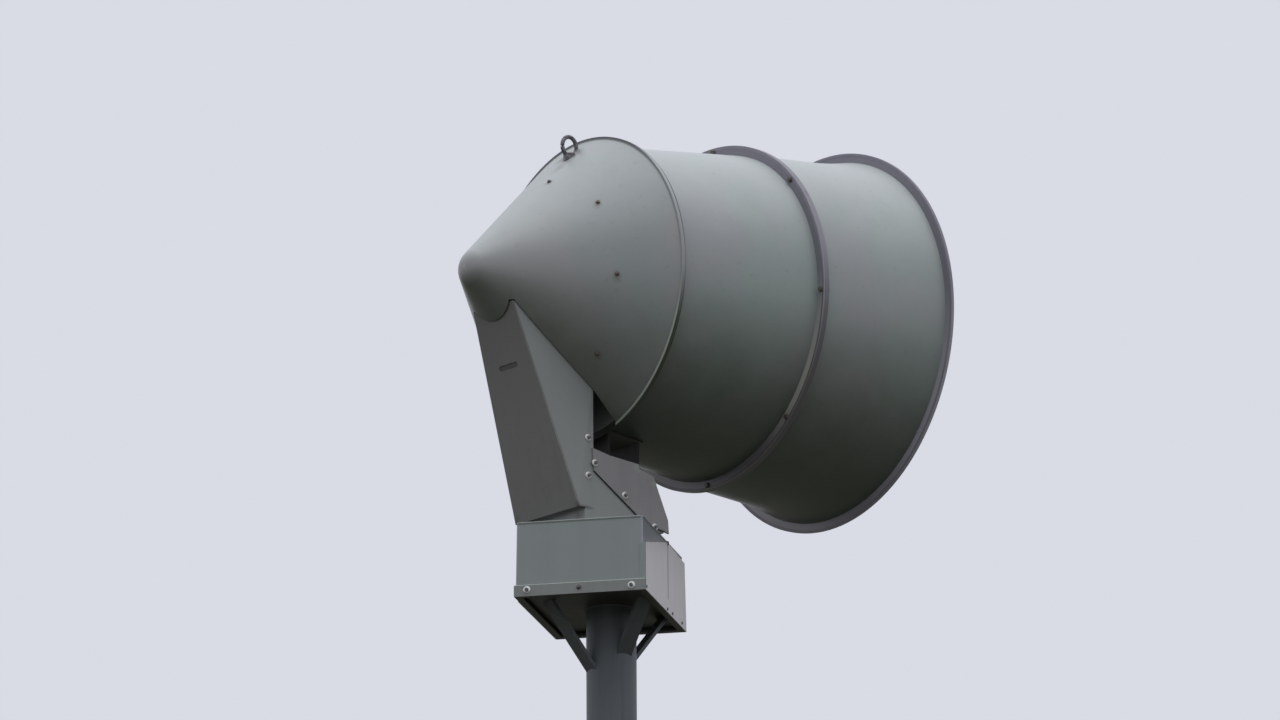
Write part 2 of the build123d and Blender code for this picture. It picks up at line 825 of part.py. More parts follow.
# Chopper drum behind the bulkhead
with BuildPart() as chopper:
    with BuildSketch(horn_plane):
        with BuildLine():
            Polyline(
                (0, throat_rear_radius),
                (0, chopper_radius),
                (-chopper_length, chopper_radius),
                (-chopper_length, 0),
                (-chopper_length + throat_wall, 0),
                (-chopper_length + throat_wall, throat_rear_radius),
                close=True,
            )
        make_face()
    revolve(axis=horn_axis)
write(chopper, "chopper")

# Motor on the horn's axis, behind the chopper, with a foot under it
motor_underside = horn_axis_height - motor_radius
motor_middle = rim_rear + chopper_length + motor_length / 2
with BuildPart() as motor:
    with BuildSketch(horn_plane):
        with Locations((-chopper_length - motor_length / 2, motor_radius / 2)):
            Rectangle(motor_length, motor_radius)
    revolve(axis=horn_axis)
    fillet(motor.edges().filter_by(GeomType.CIRCLE).sort_by(Axis.Y)[-1], motor_edge)
    with BuildSketch(level_plane(motor_underside)):
        with Locations((0, motor_middle)):
            Rectangle(motor_foot_width, motor_foot_length)
    extrude(amount=motor_foot_height)
write(motor, "motor")

# Plate across the inside of the arm, under the motor's foot
with BuildPart() as motor_plate:
    plate_level = motor_underside - motor_plate_thickness
    plate_rise = (plate_level - arm_bottom) / (arm_front_top - arm_bottom)
    plate_front = arm_rear + (arm_front - arm_rear) * plate_rise
    add(arm_envelope(-sheet, plate_front, plate_level, motor_underside))
write(motor_plate, "motor_plate")
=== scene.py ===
import math
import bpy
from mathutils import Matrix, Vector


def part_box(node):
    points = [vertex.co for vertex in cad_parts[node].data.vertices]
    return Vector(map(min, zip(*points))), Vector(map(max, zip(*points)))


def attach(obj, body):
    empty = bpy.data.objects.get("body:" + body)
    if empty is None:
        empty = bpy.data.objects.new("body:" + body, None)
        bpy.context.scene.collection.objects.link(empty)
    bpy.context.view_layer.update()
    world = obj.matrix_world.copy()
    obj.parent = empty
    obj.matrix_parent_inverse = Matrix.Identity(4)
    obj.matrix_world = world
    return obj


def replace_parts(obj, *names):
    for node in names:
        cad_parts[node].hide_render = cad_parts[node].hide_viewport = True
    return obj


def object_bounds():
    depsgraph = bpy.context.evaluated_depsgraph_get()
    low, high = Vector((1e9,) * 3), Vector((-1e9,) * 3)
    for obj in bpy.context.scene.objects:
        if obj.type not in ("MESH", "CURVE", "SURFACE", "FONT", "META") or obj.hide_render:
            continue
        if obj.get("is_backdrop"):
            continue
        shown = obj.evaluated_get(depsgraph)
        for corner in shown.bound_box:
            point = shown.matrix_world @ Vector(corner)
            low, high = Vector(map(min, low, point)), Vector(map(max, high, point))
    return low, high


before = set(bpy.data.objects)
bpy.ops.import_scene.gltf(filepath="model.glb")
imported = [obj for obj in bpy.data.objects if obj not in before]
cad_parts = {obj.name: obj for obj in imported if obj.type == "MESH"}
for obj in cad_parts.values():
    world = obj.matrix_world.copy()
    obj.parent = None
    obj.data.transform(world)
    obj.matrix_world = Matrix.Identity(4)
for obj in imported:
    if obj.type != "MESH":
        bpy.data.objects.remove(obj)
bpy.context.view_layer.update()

from types import SimpleNamespace

import bpy
from mathutils import Matrix, Vector

# Everything below is in metres.
mm = 0.001

# Base plate
# A square of thick structural steel, galvanised and painted grey-green with the mast. It stands on
# four cast-in anchor bolts, each with a thick washer, a hex nut and a lock nut.
base_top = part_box("base_plate")[1].z
anchor_circle = 450 * mm
anchor_radius, anchor_reach, anchor_chamfer = 15 * mm, 66 * mm, 3 * mm
mast_paint_colour = "#6B7472"
mast_faded_colour = "#7F8885"
mast_grime_colour = "#474B44"
zinc_colour = "#B9BBB9"
zinc_dull_colour = "#8C8E8B"


def linear(colour):
    """An sRGB hex colour as the linear numbers that the shaders take."""
    parts = [int(colour[start:start + 2], 16) / 255 for start in (1, 3, 5)]
    return (*(part / 12.92 if part <= 0.04045 else ((part + 0.055) / 1.055) ** 2.4 for part in parts), 1.0)


def add_node(tree, kind, settings=None, links=None):
    """Add a shader node. Settings in lower case are its options, and the others its inputs."""
    node = tree.nodes.new(kind)
    for key, value in (settings or {}).items():
        if isinstance(key, str) and key.islower():
            setattr(node, key, value)
        else:
            node.inputs[key].default_value = value
    for key, source in (links or {}).items():
        socket = source.outputs[0] if isinstance(source, bpy.types.Node) else source
        tree.links.new(socket, node.inputs[key])
    return node


def new_finish(name, colour, roughness, settings):
    """A plain material, with sockets for the place on the part and for the way that the surface faces."""
    material = bpy.data.materials.new(name)
    material.use_nodes = True
    tree = material.node_tree
    tree.nodes.clear()
    shader = add_node(tree, "ShaderNodeBsdfPrincipled",
                      {"Base Color": linear(colour), "Roughness": roughness, **settings})
    add_node(tree, "ShaderNodeOutputMaterial", None, {"Surface": shader})
    place = add_node(tree, "ShaderNodeTexCoord").outputs["Object"]
    normal = add_node(tree, "ShaderNodeNewGeometry").outputs["Normal"]
    return SimpleNamespace(
        material=material, tree=tree, shader=shader, place=place, normal=normal,
        at=add_node(tree, "ShaderNodeSeparateXYZ", None, {0: place}).outputs,
        facing=add_node(tree, "ShaderNodeSeparateXYZ", None, {0: normal}).outputs,
    )


def paint_where(finish, value, first, last, share, colour, soft=False, within=None):
    """Lay a colour over a finish as a value goes from first to last, up to a share and within a mask."""
    settings = {"From Min": first, "From Max": last, "To Max": share}
    if soft:
        settings["interpolation_type"] = "SMOOTHSTEP"
    mask = add_node(finish.tree, "ShaderNodeMapRange", settings, {"Value": value})
    if within is not None:
        mask = add_node(finish.tree, "ShaderNodeMath", {"operation": "MULTIPLY"}, {0: within, 1: mask})
    mixed = add_node(finish.tree, "ShaderNodeMix", {"data_type": "RGBA", 7: linear(colour)}, {0: mask})
    below = finish.shader.inputs["Base Color"]
    if below.is_linked:
        finish.tree.links.new(below.links[0].from_socket, mixed.inputs[6])
    else:
        mixed.inputs[6].default_value = below.default_value
    finish.tree.links.new(mixed.outputs[2], below)


def blotches(finish, size, first, last, share, colour, detail=2, roughness=0.5, soft=False, place=None):
    """Lay a colour over a finish in uneven patches of a size. Gives the pattern, for sheen and bumps."""
    pattern = add_node(
        finish.tree, "ShaderNodeTexNoise", {"Scale": 1 / size, "Detail": detail, "Roughness": roughness},
        {"Vector": place or finish.place})
    paint_where(finish, pattern, first, last, share, colour, soft)
    return pattern


def vary_sheen(finish, pattern, smoothest, roughest):
    """Let the roughness of a finish follow a pattern."""
    sheen = add_node(finish.tree, "ShaderNodeMapRange", {"To Min": smoothest, "To Max": roughest},
                     {"Value": pattern})
    finish.tree.links.new(sheen.outputs[0], finish.shader.inputs["Roughness"])


def add_bumps(finish, pattern, strength, depth):
    """Add bumps that follow a pattern to those that a finish has."""
    normal = finish.shader.inputs["Normal"]
    links = {"Height": pattern}
    if normal.is_linked:
        links["Normal"] = normal.links[0].from_socket
    bump = add_node(finish.tree, "ShaderNodeBump", {"Strength": strength, "Distance": depth}, links)
    finish.tree.links.new(bump.outputs[0], normal)


def weathered_paint(name, paint, faded, grime, roughness, mottle=160 * mm, spread=0.45, streak=18 * mm,
                    dirt=0.4, waves=0.4 * mm, under=None, under_share=0.5):
    """Satin paint on steel: faded in soft patches and to the sky, dirty in runs, and darker underneath, where
    a dark under colour paints shade.
    """
    finish = new_finish(name, paint, roughness, {"IOR": 1.5, "Coat Weight": 0.08, "Coat Roughness": 0.4})
    patches = blotches(finish, mottle, 0.35, 0.7, spread, faded, 4, 0.62, soft=True)
    paint_where(finish, finish.facing[2], 0.2, 1.0, 0.55, faded)
    drawn_down = add_node(finish.tree, "ShaderNodeMapping",
                          {"Scale": (1 / streak, 1 / streak, 0.06 / streak)}, {"Vector": finish.place})
    blotches(finish, 1.0, 0.5, 0.8, dirt, grime, 5, 0.7, place=drawn_down)
    paint_where(finish, finish.facing[2], -0.15, -0.95, under_share, under or grime)
    specks = blotches(finish, 7 * mm, 0.66, 0.74, 0.4 * dirt, grime)
    vary_sheen(finish, patches, roughness - 0.1, roughness + 0.16)
    dents = add_node(finish.tree, "ShaderNodeTexNoise", {"Scale": 1 / (90 * mm), "Detail": 1},
                     {"Vector": finish.place})
    add_bumps(finish, dents, 0.6, waves)
    add_bumps(finish, specks, 0.25, 0.15 * mm)
    return finish


def dress(node, finish):
    """Give a CAD node its finish."""
    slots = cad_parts[node].data.materials
    slots.clear()
    slots.append(finish.material)


def piece(name, shape, finish, body, sharp=35):
    """Make a piece of the scene from a shape, riding on a body."""
    mesh = bpy.data.meshes.new(name)
    mesh.from_pydata([tuple(point) for point in shape[0]], [], shape[1])
    mesh.validate()
    mesh.shade_smooth()
    mesh.set_sharp_from_angle(angle=math.radians(sharp))
    mesh.materials.append(finish.material)
    made = bpy.data.objects.new(name, mesh)
    bpy.context.scene.collection.objects.link(made)
    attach(made, body)
    return made


def turned(profile, sides=24, across=0.0):
    """A shape turned round Z from (radius, height) points, cut to a hexagon where across flats is given."""
    points, faces, rings = [], [], []
    for radius, height in profile:
        ring = []
        for step in range(1 if radius == 0 else sides):
            turn = math.tau * step / sides
            reach = radius
            if across:
                flat = across / 2 / math.cos((turn + math.tau / 12) % (math.tau / 6) - math.tau / 12)
                reach = min(radius, flat)
            ring.append(len(points))
            points.append(Vector((reach * math.cos(turn), reach * math.sin(turn), height)))
        rings.append(ring)
    for lower, upper in zip(rings, rings[1:]):
        for step in range(sides):
            corners = [lower[step % len(lower)], lower[(step + 1) % len(lower)],
                       upper[(step + 1) % len(upper)], upper[step % len(upper)]]
            faces.append(list(dict.fromkeys(corners)))
    return points, faces


def joined(*shapes):
    """Several shapes as one."""
    points, faces = [], []
    for some_points, some_faces in shapes:
        faces += [[corner + len(points) for corner in face] for face in some_faces]
        points += some_points
    return points, faces


def placed(shape, places):
    """Copies of a shape, one at each place."""
    return joined(*(([place @ point for point in shape[0]], shape[1]) for place in places))


def standing(point, outward=(0, 0, 1), twist=0.0):
    """The place of something that stands on a surface at a point, turned by a twist in degrees."""
    turn = Vector(outward).to_track_quat("Z", "Y").to_matrix().to_4x4()
    return Matrix.Translation(point) @ turn @ Matrix.Rotation(math.radians(twist), 4, "Z")


def hex_nut(across, height):
    """A hexagon nut or bolt head with its corners chamfered."""
    chamfer = across * 0.09
    return turned([
        (0, 0), (across * 0.48, 0), (across, chamfer * 0.6), (across, height - chamfer * 0.6),
        (across * 0.48, height), (0, height),
    ], 48, across)


def washer(radius, thickness):
    """A plain washer with softened edges."""
    soft = thickness * 0.3
    return turned([(0, 0), (radius - soft, 0), (radius, soft), (radius, thickness - soft),
                   (radius - soft, thickness), (0, thickness)], 32)


def hex_on_washer(washer_radius, washer_thickness, across, height):
    """A hexagon nut or bolt head on its washer."""
    nut = placed(hex_nut(across, height), [standing((0, 0, washer_thickness))])
    return joined(washer(washer_radius, washer_thickness), nut)


# Satin paint over zinc gives the mast its soft grey-green, paler in patches and streaked by rain.
mast_paint = weathered_paint(
    "satin_paint_on_galvanised_steel", mast_paint_colour, mast_faded_colour, mast_grime_colour, 0.5)

# Hot-dipped zinc gives a dull light grey with crystals about 12 mm across and a soft reflection.
galvanised = new_finish("hot_dip_galvanised_steel", zinc_colour, 0.45, {"Metallic": 0.85})
crystals = add_node(galvanised.tree, "ShaderNodeTexVoronoi", {"Scale": 1 / (12 * mm)},
                    {"Vector": galvanised.place})
paint_where(galvanised, crystals, 0.0, 1.0, 0.8, zinc_dull_colour)
vary_sheen(galvanised, crystals, 0.35, 0.6)

dress("base_plate", mast_paint)
anchor_head = joined(
    hex_on_washer(31 * mm, 6 * mm, 46 * mm, 24 * mm),
    placed(hex_nut(46 * mm, 15 * mm), [standing((0, 0, 30 * mm), twist=17)]),
    turned([(0, 0), (anchor_radius, 0), (anchor_radius, anchor_reach - anchor_chamfer),
            (anchor_radius - anchor_chamfer, anchor_reach), (0, anchor_reach)]),
)
anchor_places = []
for quarter in range(4):
    turn = math.radians(45 + 90 * quarter)
    corner = Vector((math.cos(turn), math.sin(turn), 0)) * anchor_circle / 2
    anchor_places.append(standing(corner + Vector((0, 0, base_top)), twist=11 * quarter))
piece("anchor_nuts", placed(anchor_head, anchor_places), galvanised, "mast")

# Ribs at the mast's foot
# Four tapered plates, welded to the plate and the shaft and painted with them. The weld beads are
# hand-laid, so their ripples show through the paint.
ribs_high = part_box("base_ribs")[1]
shaft_low, shaft_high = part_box("mast_shaft")
foot_radius = (shaft_high.x - shaft_low.x) / 2
rib_weld_radius = 5 * mm
rib_half = 5 * mm


def bead(path, radius, ripple=0.15, sides=8, closed=True, pitch=9 * mm):
    """A weld bead or a folded edge: a round bar along a path, its radius rippled at the weld's pitch."""
    points, faces, walked = [], [], 0.0
    count = len(path)
    for index, point in enumerate(path):
        before = path[index - 1] if closed or index else path[0]
        after = path[(index + 1) % count] if closed or index < count - 1 else path[-1]
        place = standing(point, (after - before).normalized())
        walked += (point - path[index - 1]).length if index else 0.0
        swell = radius * (1 - ripple * abs(math.sin(math.pi * walked / pitch)))
        for side in range(sides):
            turn = math.tau * side / sides
            points.append(place @ Vector((swell * math.cos(turn), swell * math.sin(turn), 0)))
    for index in range(count if closed else count - 1):
        here, there = index * sides, (index + 1) % count * sides
        for side in range(sides):
            next_side = (side + 1) % sides
            faces.append([here + side, here + next_side, there + next_side, there + side])
    if not closed:
        faces += [list(range(sides))[::-1], list(range((count - 1) * sides, count * sides))]
    return points, faces


def straight(start, end, spacing=3 * mm):
    """Points along a straight line."""
    start, end = Vector(start), Vector(end)
    steps = max(2, round((end - start).length / spacing))
    return [start.lerp(end, step / steps) for step in range(steps + 1)]


dress("base_ribs", mast_paint)
rib_welds = []
for quarter in range(4):
    around = Matrix.Rotation(math.radians(90 * quarter), 4, "Z")
    for side in (-1, 1):
        foot = around @ Vector((foot_radius, side * rib_half, base_top))
        toe = around @ Vector((ribs_high.x, side * rib_half, base_top))
        head = around @ Vector((foot_radius - 2 * mm, side * rib_half, ribs_high.z))
        for end in (toe, head):
            rib_welds.append(bead(straight(foot, end), rib_weld_radius, closed=False))
piece("rib_welds", joined(*rib_welds), mast_paint, "mast")

# Mast shaft
# A tapered tube, folded from plate and welded along its length, galvanised and painted. The paint
# is faded to the sky and streaked by rain from the joint above.
seam_radius = 2.2 * mm
shaft_head_radius = 84 * mm


def ring_weld(name, level, radius, bead_radius, finish):
    """A weld bead round the mast's axis, at a height and just outside a radius."""
    path = []
    for step in range(180):
        turn = math.tau * step / 180
        path.append(Vector(((radius + 1 * mm) * math.sin(turn), (radius + 1 * mm) * math.cos(turn), level)))
    piece(name, bead(path, bead_radius), finish, "mast")


dress("mast_shaft", mast_paint)
ring_weld("mast_foot_weld", base_top, foot_radius, 6 * mm, mast_paint)
ring_weld("mast_head_weld", shaft_high.z, shaft_head_radius, 5 * mm, mast_paint)
seam_path = straight((0, foot_radius, base_top), (0, shaft_head_radius, shaft_high.z), 12 * mm)
piece("mast_seam_weld", bead(seam_path, seam_radius, 0.0, closed=False), mast_paint, "mast")

# Handhole
# An oval opening for the cable joint, framed with a welded band and closed by a pressed cover on
# two galvanised screws. It is painted with the mast.
cover_low, cover_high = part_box("handhole_cover")
cover_screw_inset = 22 * mm


def in_mm(*rows):
    """Rows of lengths that are given in mm."""
    return [[value * mm for value in row] for row in rows]


dress("handhole_frame", mast_paint)
dress("handhole_cover", mast_paint)
screw_dome = turned(in_mm((0, 1), (5.5, 1), (5.5, 3), (4, 4.4), (0, 4.8)), 24)
small_screw = joined(washer(9 * mm, 1.2 * mm), screw_dome)
cover_screws = [
    standing((0, cover_low.y - 0.1 * mm, level), (0, -1, 0))
    for level in (cover_low.z + cover_screw_inset, cover_high.z - cover_screw_inset)
]
piece("handhole_screws", placed(small_screw, cover_screws), galvanised, "mast")

# Flange joint under the pipe
# Two round flanges drawn together by eight galvanised bolts, each with a washer above and below.
# The thin line between the flanges is left open.
flanges_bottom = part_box("mast_head_flange")[0].z
flanges_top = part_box("pipe_foot_flange")[1].z
bolt_circle = 235 * mm
dress("mast_head_flange", mast_paint)
dress("pipe_foot_flange", mast_paint)
flange_bolt = hex_on_washer(15 * mm, 3 * mm, 24 * mm, 11 * mm)
bolt_end = turned(in_mm((0, 0), (8, 0), (8, 20), (7, 22), (0, 22)))
above, below = [], []
for step in range(8):
    turn = math.radians(22.5 + 45 * step)
    spot = Vector((math.cos(turn), math.sin(turn), 0)) * bolt_circle / 2
    above.append(standing(spot + Vector((0, 0, flanges_top)), twist=13 * step))
    below.append(standing(spot + Vector((0, 0, flanges_bottom)), (0, 0, -1), 7 * step))
flange_bolts = joined(placed(flange_bolt, above), placed(joined(flange_bolt, bolt_end), below))
piece("flange_bolts", flange_bolts, galvanised, "mast")

# Stub pipe and braces
# A 4 inch steel pipe welded between the flange and the housing's floor, with three flat braces up
# to the floor's corners. Their paint is darker than the mast's, and darker still underneath.
pipe_low, pipe_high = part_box("stub_pipe")
pipe_radius = pipe_high.x
brace_names = ("brace_right_rear", "brace_right_front", "brace_left_front")
brace_half = 19 * mm
brace_foot_rise = 14 * mm
pipe_paint = weathered_paint(
    "darker_paint_on_pipe", "#585E63", "#63696D", "#343431", 0.5, under="#2E2C29")
for name in ("stub_pipe", *brace_names):
    dress(name, pipe_paint)
ring_weld("pipe_foot_weld", pipe_low.z, pipe_radius, 5 * mm, mast_paint)
ring_weld("pipe_head_weld", pipe_high.z, pipe_radius, 4 * mm, pipe_paint)
brace_welds = []
for name in brace_names:
    low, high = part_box(name)
    middle = (low + high) / 2
    outward = Vector((middle.x, middle.y, 0)).normalized()
    across = Vector((-outward.y, outward.x, 0)) * (brace_half - 1 * mm)
    root = outward * (pipe_radius - 1 * mm) + Vector((0, 0, low.z + brace_foot_rise))
    brace_welds.append(bead(straight(root + across, root - across), 3.5 * mm, closed=False))
piece("brace_welds", joined(*brace_welds), pipe_paint, "mast")

# Housing tray
# The folded steel tray that carries the gearbox: its floor sits up inside the rim, and the rim's
# lower edge is turned in. The head's satin grey-green paint, with a pale line along the fold that is worn
# paint and a painted highlight, near-black painted shade underneath and a paler painted light round the pipe.
housing_turn = math.radians(-142)
housing_along = Vector((math.cos(housing_turn), math.sin(housing_turn), 0))
housing_back = Vector((-math.sin(housing_turn), math.cos(housing_turn), 0))
housing_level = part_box("housing_tray")[0].z
housing_left, housing_right = -173.5 * mm, 129.5 * mm
housing_front, housing_rear = -226 * mm, 200 * mm
rim_height = 25 * mm
floor_rise = 11 * mm
lip_screw_places = in_mm((-143.4, 14.3), (97.8, 11.5))
lip_stud_place = (-23.2 * mm, 14.1 * mm)
tray_paint_colour = "#848785"
tray_faded_colour = "#919492"
tray_underside_shade_colour = "#282123"
tray_painted_light_colour = "#5C5054"
head_grime_colour = "#3E423C"
fold_edge_highlight_colour = "#AEB7B1"
screw_dark_colour = "#7B7977"
washer_bright_colour = "#DEDFDB"


def on_housing(along, back, rise):
    """A point of the housing, measured along its width, towards its rear and up from its lower edge."""
    return housing_along * along + housing_back * back + Vector((0, 0, housing_level + rise))


def paint_spot(finish, centre, radius, strength, colour, stretch=(1, 1, 1)):
    """Lay a colour round a point, ragged at its edge. A stretch under 1 lengthens the spot that way."""
    ragged = add_node(finish.tree, "ShaderNodeTexNoise",
                      {"Scale": 1 / (0.5 * radius), "Detail": 4, "Roughness": 0.7}, {"Vector": finish.place})
    shifted = add_node(finish.tree, "ShaderNodeVectorMath", {"operation": "SUBTRACT", 1: tuple(centre)},
                       {0: finish.place})
    squeezed = add_node(finish.tree, "ShaderNodeVectorMath", {"operation": "MULTIPLY", 1: tuple(stretch)},
                        {0: shifted})
    distance = add_node(finish.tree, "ShaderNodeVectorMath", {"operation": "LENGTH"}, {0: squeezed})
    uneven = add_node(finish.tree, "ShaderNodeMath", {"operation": "MULTIPLY_ADD", 1: radius},
                      {0: ragged, 2: distance.outputs["Value"]})
    paint_where(finish, uneven, 1.5 * radius, 0.45 * radius, strength, colour, soft=True)


tray_paint = weathered_paint(
    "satin_paint_on_the_tray", tray_paint_colour, tray_faded_colour, head_grime_colour, 0.45,
    mottle=220 * mm, dirt=0.25, under=tray_underside_shade_colour, under_share=0.97)
# Painted shade: the underside is near-black. Painted light: a paler patch round the pipe makes up for the
# shade that the pipe throws there.
paint_spot(tray_paint, (0, 0, housing_level + floor_rise), 105 * mm, 0.9, tray_painted_light_colour)
# Pale paint on the folds: worn paint and a painted highlight where the folded edges catch the light.
fold_highlight_paint = weathered_paint(
    "painted_highlight_on_worn_folds", fold_edge_highlight_colour, "#BFC6C0", tray_paint_colour, 0.4, mottle=30 * mm)

# Stainless washers with a bonded seal catch the light round a darker screw head.
bright_washer = new_finish("stainless_washer", washer_bright_colour, 0.32, {"Metallic": 0.35})
blotches(bright_washer, 3 * mm, 0.45, 0.8, 0.5, zinc_dull_colour, 3)

# The screws' heads have lost their shine and are spotted dark brown.
dull_screw = new_finish("tarnished_screw_steel", screw_dark_colour, 0.55, {"Metallic": 0.6})
blotches(dull_screw, 2.5 * mm, 0.42, 0.66, 1.0, "#4A4440", 4)

dress("housing_tray", tray_paint)
seal_washer = turned(in_mm((0, 0), (8.6, 0), (8.8, 0.8), (8, 1.8), (5.2, 2.8), (4.2, 2.6), (0, 2.6)), 32)
screw_head = placed(hex_nut(7.6 * mm, 4 * mm), [standing((0, 0, 2.4 * mm))])


def screws(name, places, body):
    """Hex-head sheet screws on sealing washers."""
    piece(name + "_washers", placed(seal_washer, places), bright_washer, body)
    piece(name + "_heads", placed(screw_head, places), dull_screw, body)


lip_places, stud_places = [], []
for side, face in ((-1, housing_front), (1, housing_rear)):
    for order, (along, rise) in enumerate(lip_screw_places):
        lip_places.append(standing(on_housing(along, face, rise), housing_back * side, 20 * order))
    stud_places.append(standing(on_housing(lip_stud_place[0], face, lip_stud_place[1]), housing_back * side))
screws("lip_screws", lip_places, "mast")
lip_stud = turned(in_mm((0, 0), (5.6, 0), (5.6, 1), (4, 1.4), (4, 4), (2.6, 5.4), (0, 5.6)), 28)
piece("lip_studs", placed(lip_stud, stud_places), dull_screw, "mast")
# A pale bead along the top of the rim paints the highlight of its lit fold.
rim_inset = 1.4 * mm
rim_left, rim_right = housing_left + rim_inset, housing_right - rim_inset
rim_front, rim_rear = housing_front + rim_inset, housing_rear - rim_inset
rim_corners = [
    on_housing(along, back, rim_height) for along, back in (
        (rim_left, rim_front), (rim_right, rim_front), (rim_right, rim_rear), (rim_left, rim_rear),
    )
]
rim_path = []
for corner, following in zip(rim_corners, rim_corners[1:] + rim_corners[:1]):
    rim_path += straight(corner, following, 12 * mm)[:-1]
piece("tray_rim_fold", bead(rim_path, 1.7 * mm, 0.0), fold_highlight_paint, "mast")

# Housing walls and top
# Four walls folded from one sheet, nearly upright and rounded at the corners, closed by a top sheet
# whose edge is turned over them. The paint is even; painted shade darkens the long walls under the covers,
# and a painted cool highlight lies on the rounded corners.
shell_paint_colour = "#8A9290"
shell_faded_colour = "#8F9795"
shell_shaded_colour = "#696E6F"
fold_sheen_colour = "#9D9AA8"
wall_foot_rise, wall_foot_inset, wall_head_inset = 14 * mm, 3 * mm, 5.4 * mm
rear_lean = 7 * mm
wall_thickness = 3 * mm
wall_corner_radius, wall_inner_corner_radius = 5 * mm, 2 * mm
lid_low, lid_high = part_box("housing_lid")
lid_rise, lid_foot_rise = lid_high.z - housing_level, lid_low.z - housing_level
lid_overhang = 0.9 * mm
pin_hole = 37 * mm
shell_paint = weathered_paint(
    "satin_paint_on_the_housing", shell_paint_colour, shell_faded_colour, head_grime_colour, 0.4,
    mottle=260 * mm, spread=0.6, streak=40 * mm, dirt=0.1, waves=0.9 * mm)


def paint_facing(finish, direction, first_turn, last_turn, share, colour):
    """Lay a colour over the faces that look along a direction, either way, by degrees of turn from it."""
    toward = add_node(finish.tree, "ShaderNodeVectorMath", {"operation": "DOT_PRODUCT", 1: tuple(direction)},
                      {0: finish.normal})
    either = add_node(finish.tree, "ShaderNodeMath", {"operation": "ABSOLUTE"}, {0: toward.outputs["Value"]})
    first, last = (math.cos(math.radians(turn)) for turn in (first_turn, last_turn))
    paint_where(finish, either, first, last, share, colour)


# Painted highlight: a cool sheen on the rounded folds. Painted shade: the long walls are darkened.
paint_facing(shell_paint, housing_along, 88, 76, 0.85, fold_sheen_colour)
paint_facing(shell_paint, housing_along, 38, 24, 0.95, shell_shaded_colour)


def housing_ring(inset, rise, corner=wall_corner_radius, steps=6):
    """Points round the housing at an inset and a height, with rounded corners. The rear leans in more."""
    ring = []
    lean = rear_lean * (rise - wall_foot_rise) / (lid_foot_rise - wall_foot_rise)
    rear = housing_rear - inset - corner - lean
    for quarter, (along, back) in enumerate((
        (housing_right - inset - corner, rear),
        (housing_left + inset + corner, rear),
        (housing_left + inset + corner, housing_front + inset + corner),
        (housing_right - inset - corner, housing_front + inset + corner),
    )):
        for step in range(steps + 1):
            turn = math.radians(90 * (quarter + step / steps))
            ring.append(on_housing(along + corner * math.cos(turn), back + corner * math.sin(turn), rise))
    return ring


def lofted(rings, closed=False):
    """A skin over rings of points, each joined to the next, and the last to the first where closed."""
    count = len(rings[0])
    faces = []
    for index in range(len(rings) if closed else len(rings) - 1):
        here, there = index * count, (index + 1) % len(rings) * count
        for corner in range(count):
            following = (corner + 1) % count
            faces.append([here + corner, here + following, there + following, there + corner])
    return [point for ring in rings for point in ring], faces


walls = piece("housing_walls", lofted([
    housing_ring(wall_foot_inset, wall_foot_rise),
    housing_ring(wall_head_inset, lid_foot_rise),
    housing_ring(wall_head_inset + wall_thickness, lid_foot_rise, wall_inner_corner_radius),
    housing_ring(wall_foot_inset + wall_thickness, wall_foot_rise, wall_inner_corner_radius),
], closed=True), shell_paint, "mast")
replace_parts(walls, "housing_shell")
lid_inset = wall_head_inset - lid_overhang
lid_corner_radius = wall_corner_radius + lid_overhang
lid_rings = [
    housing_ring(lid_inset + inset, rise, lid_corner_radius)
    for rise, inset in ((lid_foot_rise - 1.5 * mm, 0.5 * mm), (lid_foot_rise - 1.5 * mm, 0),
                        (lid_rise - 1 * mm, 0), (lid_rise, 1 * mm))
]
hole_rings = []
for rise in (lid_rise, lid_foot_rise):
    outward = [Vector((point.x, point.y, 0)).normalized() for point in lid_rings[-1]]
    hole_rings.append([way * pin_hole + Vector((0, 0, housing_level + rise)) for way in outward])
inner_ring = housing_ring(wall_head_inset + 0.2 * mm, lid_foot_rise)
top_shape = lofted([*lid_rings, *hole_rings, inner_ring], closed=True)
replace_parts(piece("housing_top_sheet", top_shape, shell_paint, "mast"), "housing_lid")
# Pale beads along the lid's front and rear edges paint the highlight of the turned edge.
lid_line = housing_ring(lid_inset, lid_rise - 1.2 * mm, lid_corner_radius)
lid_folds = [bead(lid_line[start:start + 2], 1.3 * mm, 0.0, closed=False) for start in (6, 20)]
piece("lid_folds", joined(*lid_folds), fold_highlight_paint, "mast")

# Side covers
# Pans of paler, thinner sheet screwed over the long sides: the top edge rises to a joint about the middle,
# closed by a black rubber cord under a moulded cap. Small self-tapping screws run along the foot.
cover_sheet_colour = "#C6C1C2"
cover_faded_colour = "#D0CDCF"
cover_grime_colour = "#7F7C80"
cover_screw_places = in_mm((-220, 8), (-3.4, 6.3), (49.1, 8.1), (149.3, 9.3))
left_cover_front = -176 * mm
cover_seam_place = 5 * mm
cover_seam_foot, cover_crown_rise = 31 * mm, 162 * mm
cover_thickness = 2 * mm
cover_sheet = weathered_paint(
    "pale_satin_sheet", cover_sheet_colour, cover_faded_colour, cover_grime_colour, 0.38, mottle=120 * mm,
    streak=26 * mm, dirt=0.14, waves=0.9 * mm)
paint_facing(cover_sheet, housing_back, 30, 10, 1.0, shell_paint_colour)
for name in ("side_cover_right", "side_cover_left"):
    dress(name, cover_sheet)
tap_screw = turned(in_mm((0, 0), (3.4, 0), (3.4, 1.2), (2.2, 2.2), (0, 2.4)), 20)
seam_cap = turned(in_mm((0, -2), (5, -2), (5, 2), (4, 3), (0, 3.4)), 24)
tap_places, cap_places, seam_cords = [], [], []
